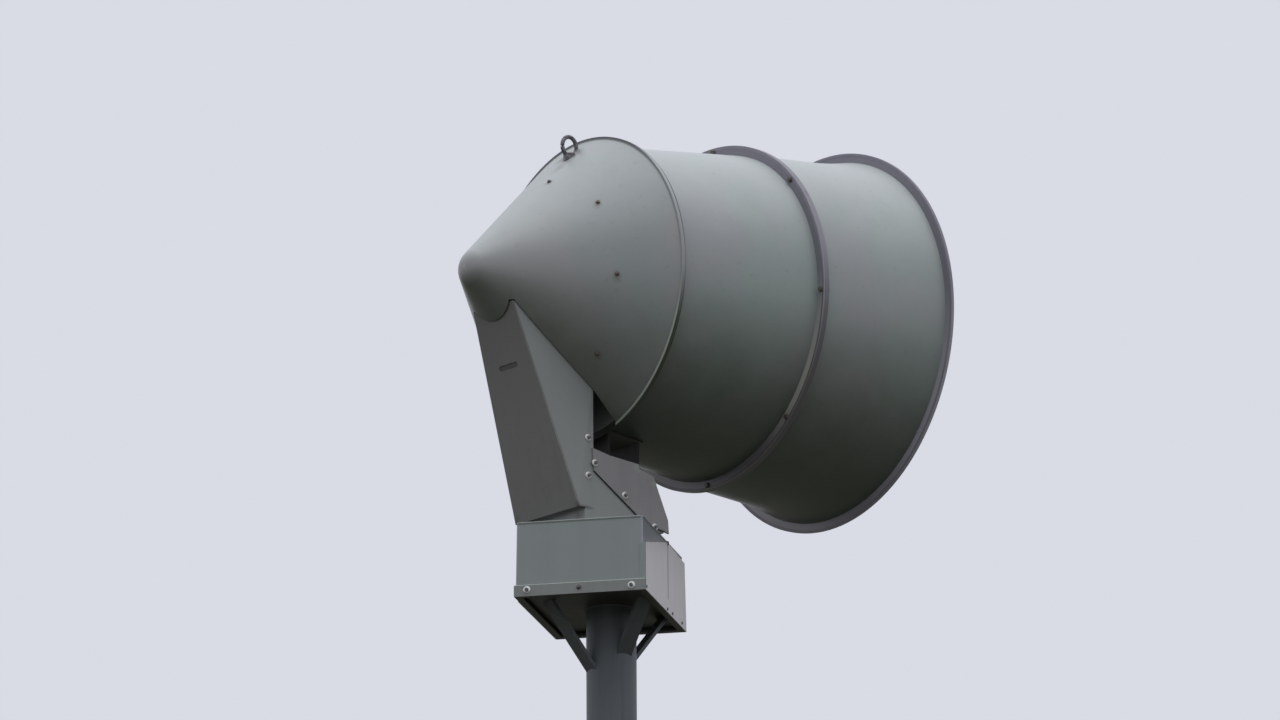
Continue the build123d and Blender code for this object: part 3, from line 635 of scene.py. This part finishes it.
for side, face in ((1, housing_right + cover_thickness), (-1, housing_left - cover_thickness)):
    for back, rise in cover_screw_places:
        if side > 0 or back > left_cover_front:
            tap_places.append(standing(on_housing(face, back, rise), housing_along * side))
    cap_centre = on_housing(face - side * 1 * mm, cover_seam_place, cover_crown_rise)
    cap_places.append(standing(cap_centre, housing_along * side))
    seam = [on_housing(face - side * 1.4 * mm, cover_seam_place, rise)
            for rise in (cover_seam_foot, cover_crown_rise)]
    seam_cords.append(bead(seam, 1.9 * mm, 0.0, 12, closed=False))
piece("cover_tap_screws", placed(tap_screw, tap_places), dull_screw, "mast")

# Black rubber and moulded plastic: dull, with a fine grain and a bloom of dust. The same black
# makes a bead of painted shade along the gussets' seam.
black_rubber_and_seam_shade = new_finish("rubber_plastic_and_seam_shade", "#29292B", 0.6, {"IOR": 1.5})
blotches(black_rubber_and_seam_shade, 6 * mm, 0.0, 1.0, 1.0, "#47474A", 4)
piece("cover_seam_caps", placed(seam_cap, cap_places), black_rubber_and_seam_shade, "mast")
piece("cover_seam_cords", joined(*seam_cords), black_rubber_and_seam_shade, "mast")

# Slewing bearing
# A ring and turntable of dark cast steel, greased and rusty at the edges, almost out of sight between
# the housing's top and the skirt.
rust_colour = "#5A3B28"
dark_steel_colour = "#3A3836"
dark_steel = new_finish("rusting_forged_steel", dark_steel_colour, 0.6, {"Metallic": 0.45})
rust = blotches(dark_steel, 9 * mm, 0.45, 0.68, 0.85, rust_colour, 6, 0.7)
vary_sheen(dark_steel, rust, 0.42, 0.85)
add_bumps(dark_steel, rust, 0.5, 0.5 * mm)
dress("slew_ring", dark_steel)
dress("turntable", dark_steel)

# Skirt and arm
# The arm is folded from 4 mm sheet: a back plate that leans back under the horn and two side plates
# whose rear halves lean in. Soft dents, painted shade at the foot of the folds; the back is a browner,
# darker coat, with painted shade on its upper part under the horn.
top_level = lid_high.z
arm_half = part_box("arm_side_right")[1].x
arm_rear, arm_foot_rise = 186 * mm, 32 * mm
side_screw_places = in_mm((158.4, 195), (158, 107))
arm_paint_colour = "#8B8E8C"
arm_faded_colour = "#949793"
back_paint_colour = "#82827F"
back_faded_colour = "#8A8A87"
back_shaded_colour = "#716F6D"
fold_foot_shade_colour = "#45423D"
green_bloom_colour = "#8E9A8A"
arm_paint = weathered_paint(
    "satin_paint_on_folded_sheet", arm_paint_colour, arm_faded_colour, head_grime_colour, 0.42,
    mottle=240 * mm, streak=30 * mm, dirt=0.15, waves=1.2 * mm)
back_paint = weathered_paint(
    "darker_paint_with_painted_shade_on_the_back_plate", back_paint_colour, back_faded_colour, head_grime_colour, 0.46,
    mottle=200 * mm, streak=26 * mm, dirt=0.2, waves=1.2 * mm)
# Painted shade: the upper part of the back plate is darkened under the horn.
paint_where(back_paint, back_paint.at[2], top_level + 200 * mm, top_level + 480 * mm, 0.8, back_shaded_colour)
for name in ("base_skirt", "arm_side_left", "arm_side_right"):
    dress(name, arm_paint)
dress("arm_back_plate", back_paint)

# Painted shade darkens the foot of each fold, and a green bloom lies on the front of the sides.
side_places = []
for side in (-1, 1):
    for finish, out, back, rise, radius, strength, colour, stretch in (
        (arm_paint, arm_half, 168, 32, 12, 0.9, fold_foot_shade_colour, (1, 0.35, 1.7)),
        (arm_paint, arm_half, 10, 150, 46, 0.35, green_bloom_colour, (1, 0.35, 1.6)),
        (back_paint, arm_half, 186, 34, 16, 0.8, fold_foot_shade_colour, (1, 1, 1)),
        (arm_paint, 92 * mm, 168, 15, 17, 0.6, fold_foot_shade_colour, (0.6, 1, 1.2)),
    ):
        spot = (side * out, back * mm, top_level + rise * mm)
        paint_spot(finish, spot, radius * mm, strength, colour, stretch)
    for back, rise in side_screw_places:
        side_places.append(standing((side * arm_half, back, top_level + rise), (side, 0, 0)))
screws("arm_screws", side_places, "head")

# Blank louver in the arm's back
# A strip of dark sheet pressed in from behind with small upright ribs, so the slot keeps rain out.
# The back plate leans out by its run for each rise.
lean_run, lean_rise = 156, 463
louver_rise = 362 * mm
louver_half_width, louver_half_height = 33 * mm, 6 * mm
louver_ribs, louver_rib_height, louver_depth, louver_thickness = 8, 1.1 * mm, 2.2 * mm, 1.6 * mm
louver_steps = 64
back_outward = Vector((0, lean_rise, -lean_run)).normalized()
back_upward = Vector((0, lean_run, lean_rise)).normalized()
louver_back = arm_rear + (louver_rise - arm_foot_rise) * lean_run / lean_rise
louver_centre = Vector((0, louver_back, top_level + louver_rise)) - back_outward * louver_depth
blank_steel = weathered_paint(
    "dark_sheet_in_the_slot", "#5E5E5C", "#6A6A67", "#3A3935", 0.55, mottle=20 * mm, streak=6 * mm, dirt=0.5)
louver_points, louver_faces = [], []
for step in range(louver_steps + 1):
    across = louver_half_width * (2 * step / louver_steps - 1)
    ridge = louver_rib_height * (0.5 + 0.5 * math.cos(math.tau * louver_ribs * step / louver_steps))
    past_round = max(0.0, abs(across) - (louver_half_width - louver_half_height))
    reach = math.sqrt(max(0.0, louver_half_height ** 2 - past_round ** 2)) + 0.4 * mm
    for rise, depth in ((reach, 0.0), (-reach, 0.0), (-reach, louver_thickness), (reach, louver_thickness)):
        point = louver_centre + Vector((across, 0, 0)) + back_upward * rise + back_outward * (ridge - depth)
        louver_points.append(point)
for step in range(louver_steps):
    here = 4 * step
    for corner in range(4):
        following = (corner + 1) % 4
        louver_faces.append([here + corner, here + following, here + 4 + following, here + 4 + corner])
louver_faces += [[3, 2, 1, 0], [4 * louver_steps + corner for corner in range(4)]]
piece("louver_blank", (louver_points, louver_faces), blank_steel, "head", 60)

# Gussets
# Two plates screwed outside the arm's sides, which carry the horn's saddle. Their paint is a shade
# browner, with a black bead of painted shade along the lower rear edge and a pale green painted
# highlight on the step's edges at the top.
gusset_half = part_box("gusset_right")[1].x
gusset_screw_places = in_mm((141.7, 137.7), (54.7, 75.6), (-32.7, 15))
gusset_seam = in_mm((143, 120), (1, 24), (-72, 7))
gusset_step = in_mm((14, 155), (12, 144), (-30, 132), (-38, 114))
gusset_paint_colour = "#8C898B"
gusset_faded_colour = "#959392"
gusset_paint = weathered_paint(
    "satin_paint_on_thick_plate", gusset_paint_colour, gusset_faded_colour, head_grime_colour, 0.45,
    mottle=90 * mm, dirt=0.25, waves=0.5 * mm)

# Pale and green at the step, with painted shade at the toe, and darker in the middle.
gusset_places, seam_beads, step_beads = [], [], []
for side in (-1, 1):
    for back, rise, radius, strength, colour, stretch in (
        (16, 146, 15, 0.55, "#A3A6A0", (1, 0.7, 0.9)),
        (-36, 116, 12, 0.7, "#8FA38E", (1, 0.5, 1.2)),
        (-46, 8, 14, 0.85, "#3A3632", (1, 0.4, 1.5)),
        (60, 80, 60, 0.3, "#7C7B7D", (1, 0.6, 1.2)),
    ):
        spot = (side * gusset_half, back * mm, top_level + rise * mm)
        paint_spot(gusset_paint, spot, radius * mm, strength, colour, stretch)
    for order, (back, rise) in enumerate(gusset_screw_places):
        gusset_places.append(standing((side * gusset_half, back, top_level + rise), (side, 0, 0), 25 * order))
    for path, beads, out, radius in (
        (gusset_seam, seam_beads, 1.4 * mm, 1.9 * mm), (gusset_step, step_beads, 3 * mm, 1.3 * mm),
    ):
        line = [Vector((side * (arm_half + out), back, top_level + rise)) for back, rise in path]
        for start, end in zip(line, line[1:]):
            beads.append(bead(straight(start, end), radius, 0.25, closed=False, pitch=14 * mm))
for name in ("gusset_left", "gusset_right"):
    dress(name, gusset_paint)
screws("gusset_screws", gusset_places, "head")
# A black bead along each gusset's seam is painted shade.
piece("gusset_seam_shade_bead", joined(*seam_beads), black_rubber_and_seam_shade, "head")
# Pale green beads on the step's edges are a painted highlight.
step_edge_highlight = weathered_paint(
    "painted_highlight_on_plate_edges", "#95A293", "#A3AE9F", "#6D6F69", 0.5, mottle=18 * mm)
piece("gusset_step_edges", joined(*step_beads), step_edge_highlight, "head")

# Saddle
# Two webs between the gussets, cut in above them, and a narrow curved strip that the horn lies on, all
# painted near-black as painted shade for the dark space under the horn, as is the plate under the motor.
barrel_low, barrel_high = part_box("front_barrel")
axis_level = (barrel_low.z + barrel_high.z) / 2
horn_rise = axis_level - top_level
rim_back = 73 * mm
joint_ahead = 381 * mm
barrel_rear_radius, barrel_growth = 337 * mm, 46 * mm
web_foot_rise, web_shoulder_rise, web_neck_rise = 108 * mm, 126 * mm, 144 * mm
web_neck_half, web_half_thickness = 58 * mm, 3 * mm
strip_rear, strip_front, strip_thickness, strip_half_turn = 9 * mm, 119 * mm, 4 * mm, 10
saddle_shade_paint = weathered_paint(
    "painted_shade_on_the_saddle", "#605E61", "#666568", "#3E3D3B", 0.75, dirt=0.3, under="#74716F",
    under_share=0.9)
# Painted shade: darkest on the faces that look to the sides; the undersides are paler.
paint_facing(saddle_shade_paint, (1, 0, 0), 60, 30, 0.95, "#1F201D")
for name in ("motor_plate", "saddle_rib_front", "saddle_rib_rear", "cradle"):
    dress(name, saddle_shade_paint)


def barrel_radius(ahead):
    """The rear barrel's outer radius ahead of the cone's rim."""
    return barrel_rear_radius + barrel_growth * ahead / joint_ahead


def on_horn(ahead, radius, turn):
    """A point of the horn, ahead of the cone's rim, at a radius and a turn in degrees from the top."""
    turn = math.radians(turn)
    return Vector((-radius * math.sin(turn), rim_back - ahead, axis_level + radius * math.cos(turn)))


def ring_of(profile, first=0, last=360, spacing=1.2):
    """A ring turned round the horn from (distance ahead of the rim, radius) points, between two turns."""
    whole = last - first >= 360
    steps = round((last - first) / spacing)
    rings = [[on_horn(ahead, radius, first + (last - first) * step / steps) for ahead, radius in profile]
             for step in range(steps + (not whole))]
    points, faces = lofted(rings, closed=whole)
    if not whole:
        count = len(profile)
        faces += [list(range(count))[::-1], list(range(len(points) - count, len(points)))]
    return points, faces


for name, node, back in (
    ("saddle_web_front", "saddle_rib_front", -34 * mm), ("saddle_web_rear", "saddle_rib_rear", 52 * mm),
):
    seat = barrel_radius(rim_back - back) + strip_thickness - 0.5 * mm
    outline = [(arm_half, web_foot_rise), (arm_half, web_shoulder_rise), (web_neck_half, web_neck_rise)]
    for step in range(13):
        across = web_neck_half * (1 - step / 6)
        outline.append((across, horn_rise - math.sqrt(seat ** 2 - across ** 2)))
    outline += [(-across, rise) for across, rise in outline[2::-1]]
    rings = [[Vector((across, back + way * web_half_thickness, top_level + rise)) for across, rise in outline]
             for way in (-1, 1)]
    points, faces = lofted(rings)
    count = len(outline)
    faces += [list(range(count)), list(range(count, 2 * count))[::-1]]
    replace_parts(piece(name, (points, faces), saddle_shade_paint, "head"), node)
strip_profile = [
    (ahead, barrel_radius(ahead) + out) for ahead, out in (
        (strip_rear, 0), (strip_front, 0), (strip_front, strip_thickness), (strip_rear, strip_thickness),
    )
]
saddle_strip = ring_of(strip_profile, 180 - strip_half_turn, 180 + strip_half_turn)
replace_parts(piece("saddle_strip", saddle_strip, saddle_shade_paint, "head"), "cradle")

# Motor and chopper
# A flange motor behind the chopper's drum, both in dark machine enamel with dust on their tops.
machine_enamel = weathered_paint("dark_machine_enamel", "#33373A", "#4A4E50", "#2A2621", 0.4, mottle=60 * mm,
                                 streak=9 * mm, dirt=0.5, waves=0.2 * mm)
for name in ("motor", "chopper"):
    dress(name, machine_enamel)

# Rear cone
# A smooth moulded cone of glass fibre with a bound lip that stands over the barrel, fixed by a ring of
# small screws that have rusted and stained the gel coat below them.
rim_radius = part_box("cone_shell")[1].x
cone_half_angle = math.radians(43.4)
cone_screw_places = ((9.5, 134), (53, 120), (97, 111), (139.5, 103), (221, 104), (264, 110), (308, 119))
shell_colour = "#929D99"
shell_warm_colour = "#989A9B"
shell_chalk_and_top_light_colour = "#BFC5C3"
shell_algae_and_under_shade_colour = "#424A3D"
cone_colours = ("#8F9695", "#969797", "#4B5040")


def gel_coat(name, fresh=shell_colour, warm=shell_warm_colour, low=shell_algae_and_under_shade_colour):
    """Weathered gel coat on glass fibre: chalky and painted lighter on top, green with algae and painted
    shade below, its sheen wandering.
    """
    finish = new_finish(name, fresh, 0.38, {"IOR": 1.52, "Coat Weight": 0.15, "Coat Roughness": 0.3})
    drift = blotches(finish, 230 * mm, 0.38, 0.62, 1.0, warm, soft=True)
    cloud = add_node(finish.tree, "ShaderNodeTexNoise",
                     {"Scale": 1 / (110 * mm), "Detail": 5, "Roughness": 0.65}, {"Vector": finish.place})
    uneven = add_node(finish.tree, "ShaderNodeMath", {"operation": "MULTIPLY_ADD", 1: 0.28},
                      {0: cloud, 2: finish.facing[2]})
    # Painted light on top and painted shade below, mixed with chalk and algae, by the way the surface faces.
    paint_where(finish, uneven, 0.24, 1.14, 0.9, shell_chalk_and_top_light_colour, soft=True)
    paint_where(finish, uneven, 0.05, -0.95, 0.94, low, soft=True)
    blotches(finish, 16 * mm, 0.62, 0.76, 0.12, low, 3)
    vary_sheen(finish, cloud, 0.28, 0.52)
    add_bumps(finish, drift, 0.7, 3 * mm)
    return finish


def horn_radius(finish):
    """The distance of the surface from the horn's axis, for rings of another colour."""
    centred = add_node(finish.tree, "ShaderNodeVectorMath", {"operation": "SUBTRACT", 1: (0, 0, axis_level)},
                       {0: finish.place})
    flat = add_node(finish.tree, "ShaderNodeVectorMath", {"operation": "MULTIPLY", 1: (1, 0, 1)},
                    {0: centred})
    reach = add_node(finish.tree, "ShaderNodeVectorMath", {"operation": "LENGTH"}, {0: flat})
    return reach.outputs["Value"]


def cone_radius(behind):
    """The cone's outer radius behind its rim."""
    return rim_radius - behind * math.tan(cone_half_angle)


def cone_outward(turn):
    """The way the cone's skin faces at a turn from the top."""
    turn = math.radians(turn)
    radial = Vector((-math.sin(turn), 0, math.cos(turn)))
    return radial * math.cos(cone_half_angle) + Vector((0, math.sin(cone_half_angle), 0))


cone_gel = gel_coat("gel_coat_of_the_cone", *cone_colours)
dress("cone_shell", cone_gel)
cone_screw = turned(
    in_mm((0, -0.4), (5.6, -0.4), (5.6, 0.8), (3.8, 1.1), (3.8, 3.4), (2.6, 4.6), (0, 4.9)), 28)

# Zinc worn off a small screw leaves grey-brown with darker rust, and a faint stain on the skin.
rusty_screw = new_finish("rusty_zinc_screw", "#77706A", 0.55, {"Metallic": 0.4})
blotches(rusty_screw, 4 * mm, 0.42, 0.6, 1.0, "#5C5149", 5)
cone_screw_points = []
for turn, behind in cone_screw_places:
    point, outward = on_horn(-behind * mm, cone_radius(behind * mm), turn), cone_outward(turn)
    cone_screw_points.append(standing(point, outward, 2 * turn))
    paint_spot(cone_gel, point - Vector((0, 0, 5 * mm)), 15 * mm, 0.6, "#6A6058", (1, 1, 0.7))
piece("cone_screws", placed(cone_screw, cone_screw_points), rusty_screw, "head")

# The lip's outer face is painted dark below the axis, a painted shade like the barrel's below it, and
# purple-grey on top; below the axis its rear edge carries a pale painted highlight, so that it shows as a
# thin line. It stops at the slot that the arm comes through.
slot_edge_turn = 19
lip_top = rim_radius + 0.4 * mm
lip_gel = gel_coat("gel_coat_of_the_lip", *cone_colours)
for measured, first, last, height_start, height_end, colour in (
    (lip_gel.at[1], rim_back + 9 * mm, rim_back + 8.5 * mm, -10 * mm, -140 * mm, "#454C3F"),
    (horn_radius(lip_gel), lip_top - 3.8 * mm, lip_top - 2.8 * mm, 240 * mm, 310 * mm, "#4F4D57"),
    (lip_gel.facing[1], 0.25, 0.45, -10 * mm, -120 * mm, "#A3AF9F"),
):
    band = add_node(lip_gel.tree, "ShaderNodeMapRange", {"From Min": first, "From Max": last},
                    {"Value": measured})
    paint_where(lip_gel, lip_gel.at[2], axis_level + height_start, axis_level + height_end, 1.0, colour,
                within=band)
lip_profile = [
    (0, lip_top - 3.4 * mm), (0, lip_top - 0.8 * mm), (-0.8 * mm, lip_top), (-6.4 * mm, lip_top),
    (-7.6 * mm, lip_top - 1 * mm), (-8 * mm, lip_top - 3 * mm), (-7.4 * mm, lip_top - 4.6 * mm),
    (-5 * mm, lip_top - 5 * mm),
]
lip_ring = ring_of(lip_profile, slot_edge_turn - 180, 180 - slot_edge_turn)
piece("cone_rim_binding", lip_ring, lip_gel, "head")

# Lifting eye
# A forged eye bolt screwed into the cone's top, brown with rust, which has run over the skin at its foot.
eye_low, eye_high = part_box("lifting_eye")
eye_foot = Vector((0, (eye_low.y + eye_high.y) / 2, eye_low.z + 20 * mm))
eye_bar, eye_half_width, eye_half_height = 4.8 * mm, 20.3 * mm, 23 * mm
eye_centre = Vector((-11 * mm, eye_foot.y, eye_high.z - eye_bar - eye_half_height - 3.5 * mm))
eye_steps = 48

# Forged steel whose zinc is nearly gone: mid grey with a dull shine, browned in spots.
eye_steel = new_finish("worn_forged_steel", "#77757A", 0.42, {"Metallic": 0.5})
browning = blotches(eye_steel, 8 * mm, 0.48, 0.62, 0.9, "#4A4340", 5, 0.7)
add_bumps(eye_steel, browning, 0.4, 0.4 * mm)
eye_path = []
for step in range(eye_steps):
    turn = math.tau * step / eye_steps
    around = Vector((0, eye_half_width * math.sin(turn), eye_half_height * math.cos(turn)))
    eye_path.append(eye_centre + around)
collar_foot = cone_radius(eye_foot.y - rim_back) + axis_level
stem_top = eye_centre.z - eye_half_height + 2 * mm - collar_foot
eye_stem = turned([*in_mm((0, -14), (14, -14), (14, 6), (12.5, 8), (8.5, 9)),
                   (7 * mm, stem_top - 3 * mm), (5.5 * mm, stem_top), (0, stem_top + 1 * mm)], 40)
stem_place = Matrix.Translation((eye_centre.x, eye_foot.y, collar_foot))
eye_shape = joined(bead(eye_path, eye_bar, 0.0, 16), placed(eye_stem, [stem_place]))
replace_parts(piece("lifting_eye_bolt", eye_shape, eye_steel, "head"), "lifting_eye")
for shift, radius, strength, colour, stretch in (
    ((0, 0, 0), 30, 0.8, "#4C433D", (0.55, 1, 1)),
    ((-18, 34, -34), 26, 0.35, "#7A6557", (1, 0.6, 0.6)),
    ((-22, -12, 0), 24, 0.5, "#6E655E", (0.7, 1, 1)),
):
    paint_spot(cone_gel, eye_foot + Vector(shift) * mm, radius * mm, strength, colour, stretch)

# Barrels and bulkhead
# The two barrels meet at a bolted flange. Their flanges are left as laid up, a purplish grey, with
# painted light and shade below the axis and a pale painted highlight along the joint's rear edge, and
# the mouth ends in a rolled lip of the same.
joint_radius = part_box("rear_barrel")[1].x
mouth_radius = barrel_high.x
joint_thickness, mouth_ahead, mouth_thickness = 7.5 * mm, 728 * mm, 7 * mm
joint_bolt_radius = 394.5 * mm
band_colour = "#797681"
rear_gel = gel_coat("gel_coat_of_the_rear_barrel")
front_gel = gel_coat("gel_coat_of_the_front_barrel")
inner_gel = gel_coat("gel_coat_inside_the_horn")
dress("rear_barrel", rear_gel)
dress("front_barrel", front_gel)
for name in ("bulkhead", "throat_horn", "reflector_dome", "dome_struts"):
    dress(name, inner_gel)


def flange_colours(finish, start, nearest, farthest, fades):
    """Colours on a flange outside a radius and between two distances, each below a height. All in mm."""
    outside = add_node(finish.tree, "ShaderNodeMapRange", {
        "From Min": (start - 0.6) * mm, "From Max": (start + 0.6) * mm,
    }, {"Value": horn_radius(finish)})
    behind = add_node(finish.tree, "ShaderNodeMath", {"operation": "LESS_THAN", 1: rim_back - nearest * mm},
                      {0: finish.at[1]})
    ahead = add_node(finish.tree, "ShaderNodeMath",
                     {"operation": "GREATER_THAN", 1: rim_back - farthest * mm}, {0: finish.at[1]})
    between = add_node(finish.tree, "ShaderNodeMath", {"operation": "MULTIPLY"},
                       {0: behind, 1: ahead})
    mask = add_node(finish.tree, "ShaderNodeMath", {"operation": "MULTIPLY"},
                    {0: between, 1: outside})
    for high_end, low_end, colour in fades:
        paint_where(finish, finish.at[2], axis_level + high_end * mm, axis_level + low_end * mm, 1.0, colour,
                    within=mask)


# The first colour of each flange covers the whole of it, and the next ones start below the axis.
# On the joint and mouth flanges they are painted light on the rear faces, darker again towards the bottom;
# the step behind the cone's rim is dark on top, paler lower down and painted dark olive shade below the axis.
joint_fades = ((600, 590, band_colour), (40, -190, "#B3B2AA"), (-260, -340, "#7A777C"))
flange_colours(rear_gel, 341, -1, 5.4, ((600, 590, "#47454F"), (150, 20, "#7F8384"), (-10, -120, "#3F4639")))
flange_colours(rear_gel, 381.8, 373.2, 382, joint_fades)
flange_colours(front_gel, 388.5, 380, 388.8, joint_fades)
mouth_fades = ((600, 590, band_colour), (60, -200, "#B2AEB8"), (-330, -440, "#9A96A2"))
flange_colours(front_gel, 425.2, 720.7, 740, mouth_fades)


def bound_edge(name, above, below, high_end, low_end):
    """Resin over a laid-up edge, whose colour changes between two heights from the horn's axis."""
    finish = weathered_paint(name, above, above, "#4A4850", 0.42, mottle=40 * mm)
    paint_where(finish, finish.at[2], axis_level + high_end, axis_level + low_end, 1.0, below)
    return finish


# The joint's binding is painted darker below, as painted shade, and the mouth's paler below, as painted
# light; the pale ring along the joint's rear edge is a painted highlight.
joint_binding = bound_edge("resin_bound_joint", "#8A8791", "#69656A", 100 * mm, -60 * mm)
joint_edge_highlight = bound_edge("painted_highlight_on_joint_edge", "#8F8C94", "#7C7874", -60 * mm, -200 * mm)
mouth_binding = bound_edge("resin_bound_mouth", "#7E7B88", "#908D98", 60 * mm, -330 * mm)
mouth_middle = mouth_ahead - mouth_thickness / 2 - 0.5 * mm
for name, middle, half, outer, finish in (
    ("joint_flange_binding", joint_ahead, joint_thickness + 0.5 * mm, joint_radius + 0.4 * mm, joint_binding),
    ("mouth_rim_binding", mouth_middle, mouth_thickness / 2 + 0.1 * mm, mouth_radius, mouth_binding),
):
    piece(name, ring_of([
        (middle + half, outer - 7 * mm), (middle + half, outer - 1.4 * mm), (middle + half - 1.2 * mm, outer),
        (middle - half + 1.2 * mm, outer), (middle - half, outer - 1.4 * mm), (middle - half, outer - 7 * mm),
        (middle - half + 1 * mm, outer - 7.4 * mm), (middle + half - 1 * mm, outer - 7.4 * mm),
    ]), finish, "head")
edge_ahead = joint_ahead - joint_thickness
piece("joint_flange_highlight", ring_of([
    (edge_ahead - 1 * mm, joint_radius - 1.8 * mm), (edge_ahead - 0.8 * mm, joint_radius + 0.2 * mm),
    (edge_ahead + 1.2 * mm, joint_radius + 0.8 * mm), (edge_ahead + 1.6 * mm, joint_radius - 0.6 * mm),
]), joint_edge_highlight, "head")
joint_bolt = hex_on_washer(6.8 * mm, 1.4 * mm, 10 * mm, 4.5 * mm)
joint_places = []
for step in range(8):
    for face, way in ((joint_ahead - joint_thickness, 1), (joint_ahead + joint_thickness, -1)):
        bolt_foot = on_horn(face, joint_bolt_radius, 2.2 + 45 * step)
        joint_places.append(standing(bolt_foot, (0, way, 0), 31 * step))
piece("joint_flange_bolts", placed(joint_bolt, joint_places), rusty_screw, "head")

# Dome and struts inside the mouth
# The reflector dome hangs on four flat struts, bonded with fillets of resin, and a hex bolt closes
# its nose. They share the gel coat of the horn's inside.
strut_rear, strut_front = 538 * mm, 582 * mm
strut_fillet_offset, strut_fillet_radius = 5 * mm, 4.5 * mm
dome_nose_ahead = 699 * mm
fillets = []
for quarter in range(4):
    turn = 45 + 90 * quarter
    sideways = on_horn(0, 1, turn + 90) - on_horn(0, 0, 0)
    for rear_radius, front_radius in in_mm((395.6, 398.6), (280.4, 283.8)):
        for way in (-1, 1):
            offset = sideways * way * strut_fillet_offset
            path = straight(on_horn(strut_rear, rear_radius, turn) + offset,
                            on_horn(strut_front, front_radius, turn) + offset)
            fillets.append(bead(path, strut_fillet_radius, 0.15, 10, closed=False, pitch=25 * mm))
piece("strut_tabbing", joined(*fillets), inner_gel, "head")
nose_place = standing(on_horn(dome_nose_ahead, 0, 0), (0, -1, 0))
nose_bolt = placed(hex_on_washer(20 * mm, 2.5 * mm, 24 * mm, 12 * mm), [nose_place])
piece("dome_nose_bolt", nose_bolt, eye_steel, "head")

# Floor, sky and lamps
# A plain pale floor and sky, with soft light from above as under an even overcast. The floor and the sky
# show plainly to the camera and throw less light on the part.
floor_colour = "#D4D5D8"
sky_colour = "#D9DBE5"
overcast_colour = "#F4F7FF"
floor_reach, floor_level = 2500, -0.5 * mm
floor_mesh = bpy.data.meshes.new("floor")
floor_mesh.from_pydata([
    (across * floor_reach, along * floor_reach, floor_level)
    for across, along in ((-1, -1), (1, -1), (1, 1), (-1, 1))
], [], [(0, 1, 2, 3)])
floor = bpy.data.objects.new("floor", floor_mesh)
bpy.context.scene.collection.objects.link(floor)
floor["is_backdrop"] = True
floor_finish = bpy.data.materials.new("pale_floor")
floor_finish.use_nodes = True
floor_tree = floor_finish.node_tree
floor_tree.nodes.clear()
seen = add_node(floor_tree, "ShaderNodeLightPath").outputs["Is Camera Ray"]
pale = add_node(floor_tree, "ShaderNodeBsdfDiffuse", {"Color": linear(floor_colour)})
dim = add_node(floor_tree, "ShaderNodeBsdfDiffuse", {"Color": (0.11, 0.11, 0.09, 1)})
floor_mix = add_node(floor_tree, "ShaderNodeMixShader", None, {0: seen, 1: dim, 2: pale})
add_node(floor_tree, "ShaderNodeOutputMaterial", None, {"Surface": floor_mix})
floor_mesh.materials.append(floor_finish)

world = bpy.data.worlds.new("overcast")
bpy.context.scene.world = world
world.use_nodes = True
world_tree = world.node_tree
world_tree.nodes.clear()
ray = add_node(world_tree, "ShaderNodeLightPath").outputs
direct = ray["Is Camera Ray"]
for kind in ("Is Glossy Ray", "Is Transmission Ray"):
    direct = add_node(world_tree, "ShaderNodeMath", {"operation": "MAXIMUM"}, {0: direct, 1: ray[kind]})
toward = add_node(world_tree, "ShaderNodeSeparateXYZ", None,
                  {0: add_node(world_tree, "ShaderNodeTexCoord").outputs["Generated"]})
height = add_node(world_tree, "ShaderNodeMapRange",
                  {"From Min": -0.1, "From Max": 0.9, "To Min": 0.45, "To Max": 1.05},
                  {"Value": toward.outputs[2]})
dome = add_node(world_tree, "ShaderNodeBackground", {"Color": linear(overcast_colour)}, {"Strength": height})
plain = add_node(world_tree, "ShaderNodeBackground", {"Color": linear(sky_colour)})
world_mix = add_node(world_tree, "ShaderNodeMixShader", None, {0: direct, 1: dome, 2: plain})
add_node(world_tree, "ShaderNodeOutputWorld", None, {"Surface": world_mix})

lamp_data = bpy.data.lights.new("high_soft_lamp", "SUN")
lamp_data.energy = 0.7
lamp_data.angle = math.radians(60)
lamp = bpy.data.objects.new("high_soft_lamp", lamp_data)
lamp.rotation_mode = "QUATERNION"
lamp.rotation_quaternion = Vector((-0.35, 0.1, 1)).to_track_quat("Z", "Y")
bpy.context.scene.collection.objects.link(lamp)

# Camera
# It stands where the photo was taken: behind the horn to the left, low on the ground with a long lens.
# The place comes from a fit of the part's corners to the picture.
picture_width, picture_height = 1280, 720
camera_azimuth = 230.76
camera_elevation = -14.878
camera_roll = -0.33
camera_distance = 22.7
target_rise = 350 * mm
target_column, target_row = 610.14, 392.7
pixels_to_metre = 438
azimuth, elevation = math.radians(camera_azimuth), math.radians(camera_elevation)
toward_camera = Vector((
    math.sin(azimuth) * math.cos(elevation), -math.cos(azimuth) * math.cos(elevation), math.sin(elevation),
))
level_right = Vector((math.cos(azimuth), math.sin(azimuth), 0))
roll = Matrix.Rotation(math.radians(camera_roll), 3, toward_camera)
right, up = roll @ level_right, roll @ toward_camera.cross(level_right)
target = Vector((0, 0, top_level + target_rise))
aim = target + right * (picture_width / 2 - target_column) / pixels_to_metre
aim += up * (target_row - picture_height / 2) / pixels_to_metre
camera_data = bpy.data.cameras.new("camera")
camera_data.lens = camera_data.sensor_width * pixels_to_metre * camera_distance / picture_width
camera_data.clip_end = 5000
camera = bpy.data.objects.new("camera", camera_data)
camera.location = target + toward_camera * camera_distance
camera.rotation_mode = "QUATERNION"
look = (aim - camera.location).to_track_quat("-Z", "Y")
camera.rotation_quaternion = look @ Matrix.Rotation(math.radians(camera_roll), 3, "Z").to_quaternion()
bpy.context.scene.collection.objects.link(camera)
bpy.context.scene.camera = camera
bpy.context.scene.view_settings.view_transform = "Standard"

bpy.context.view_layer.update()
low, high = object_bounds()
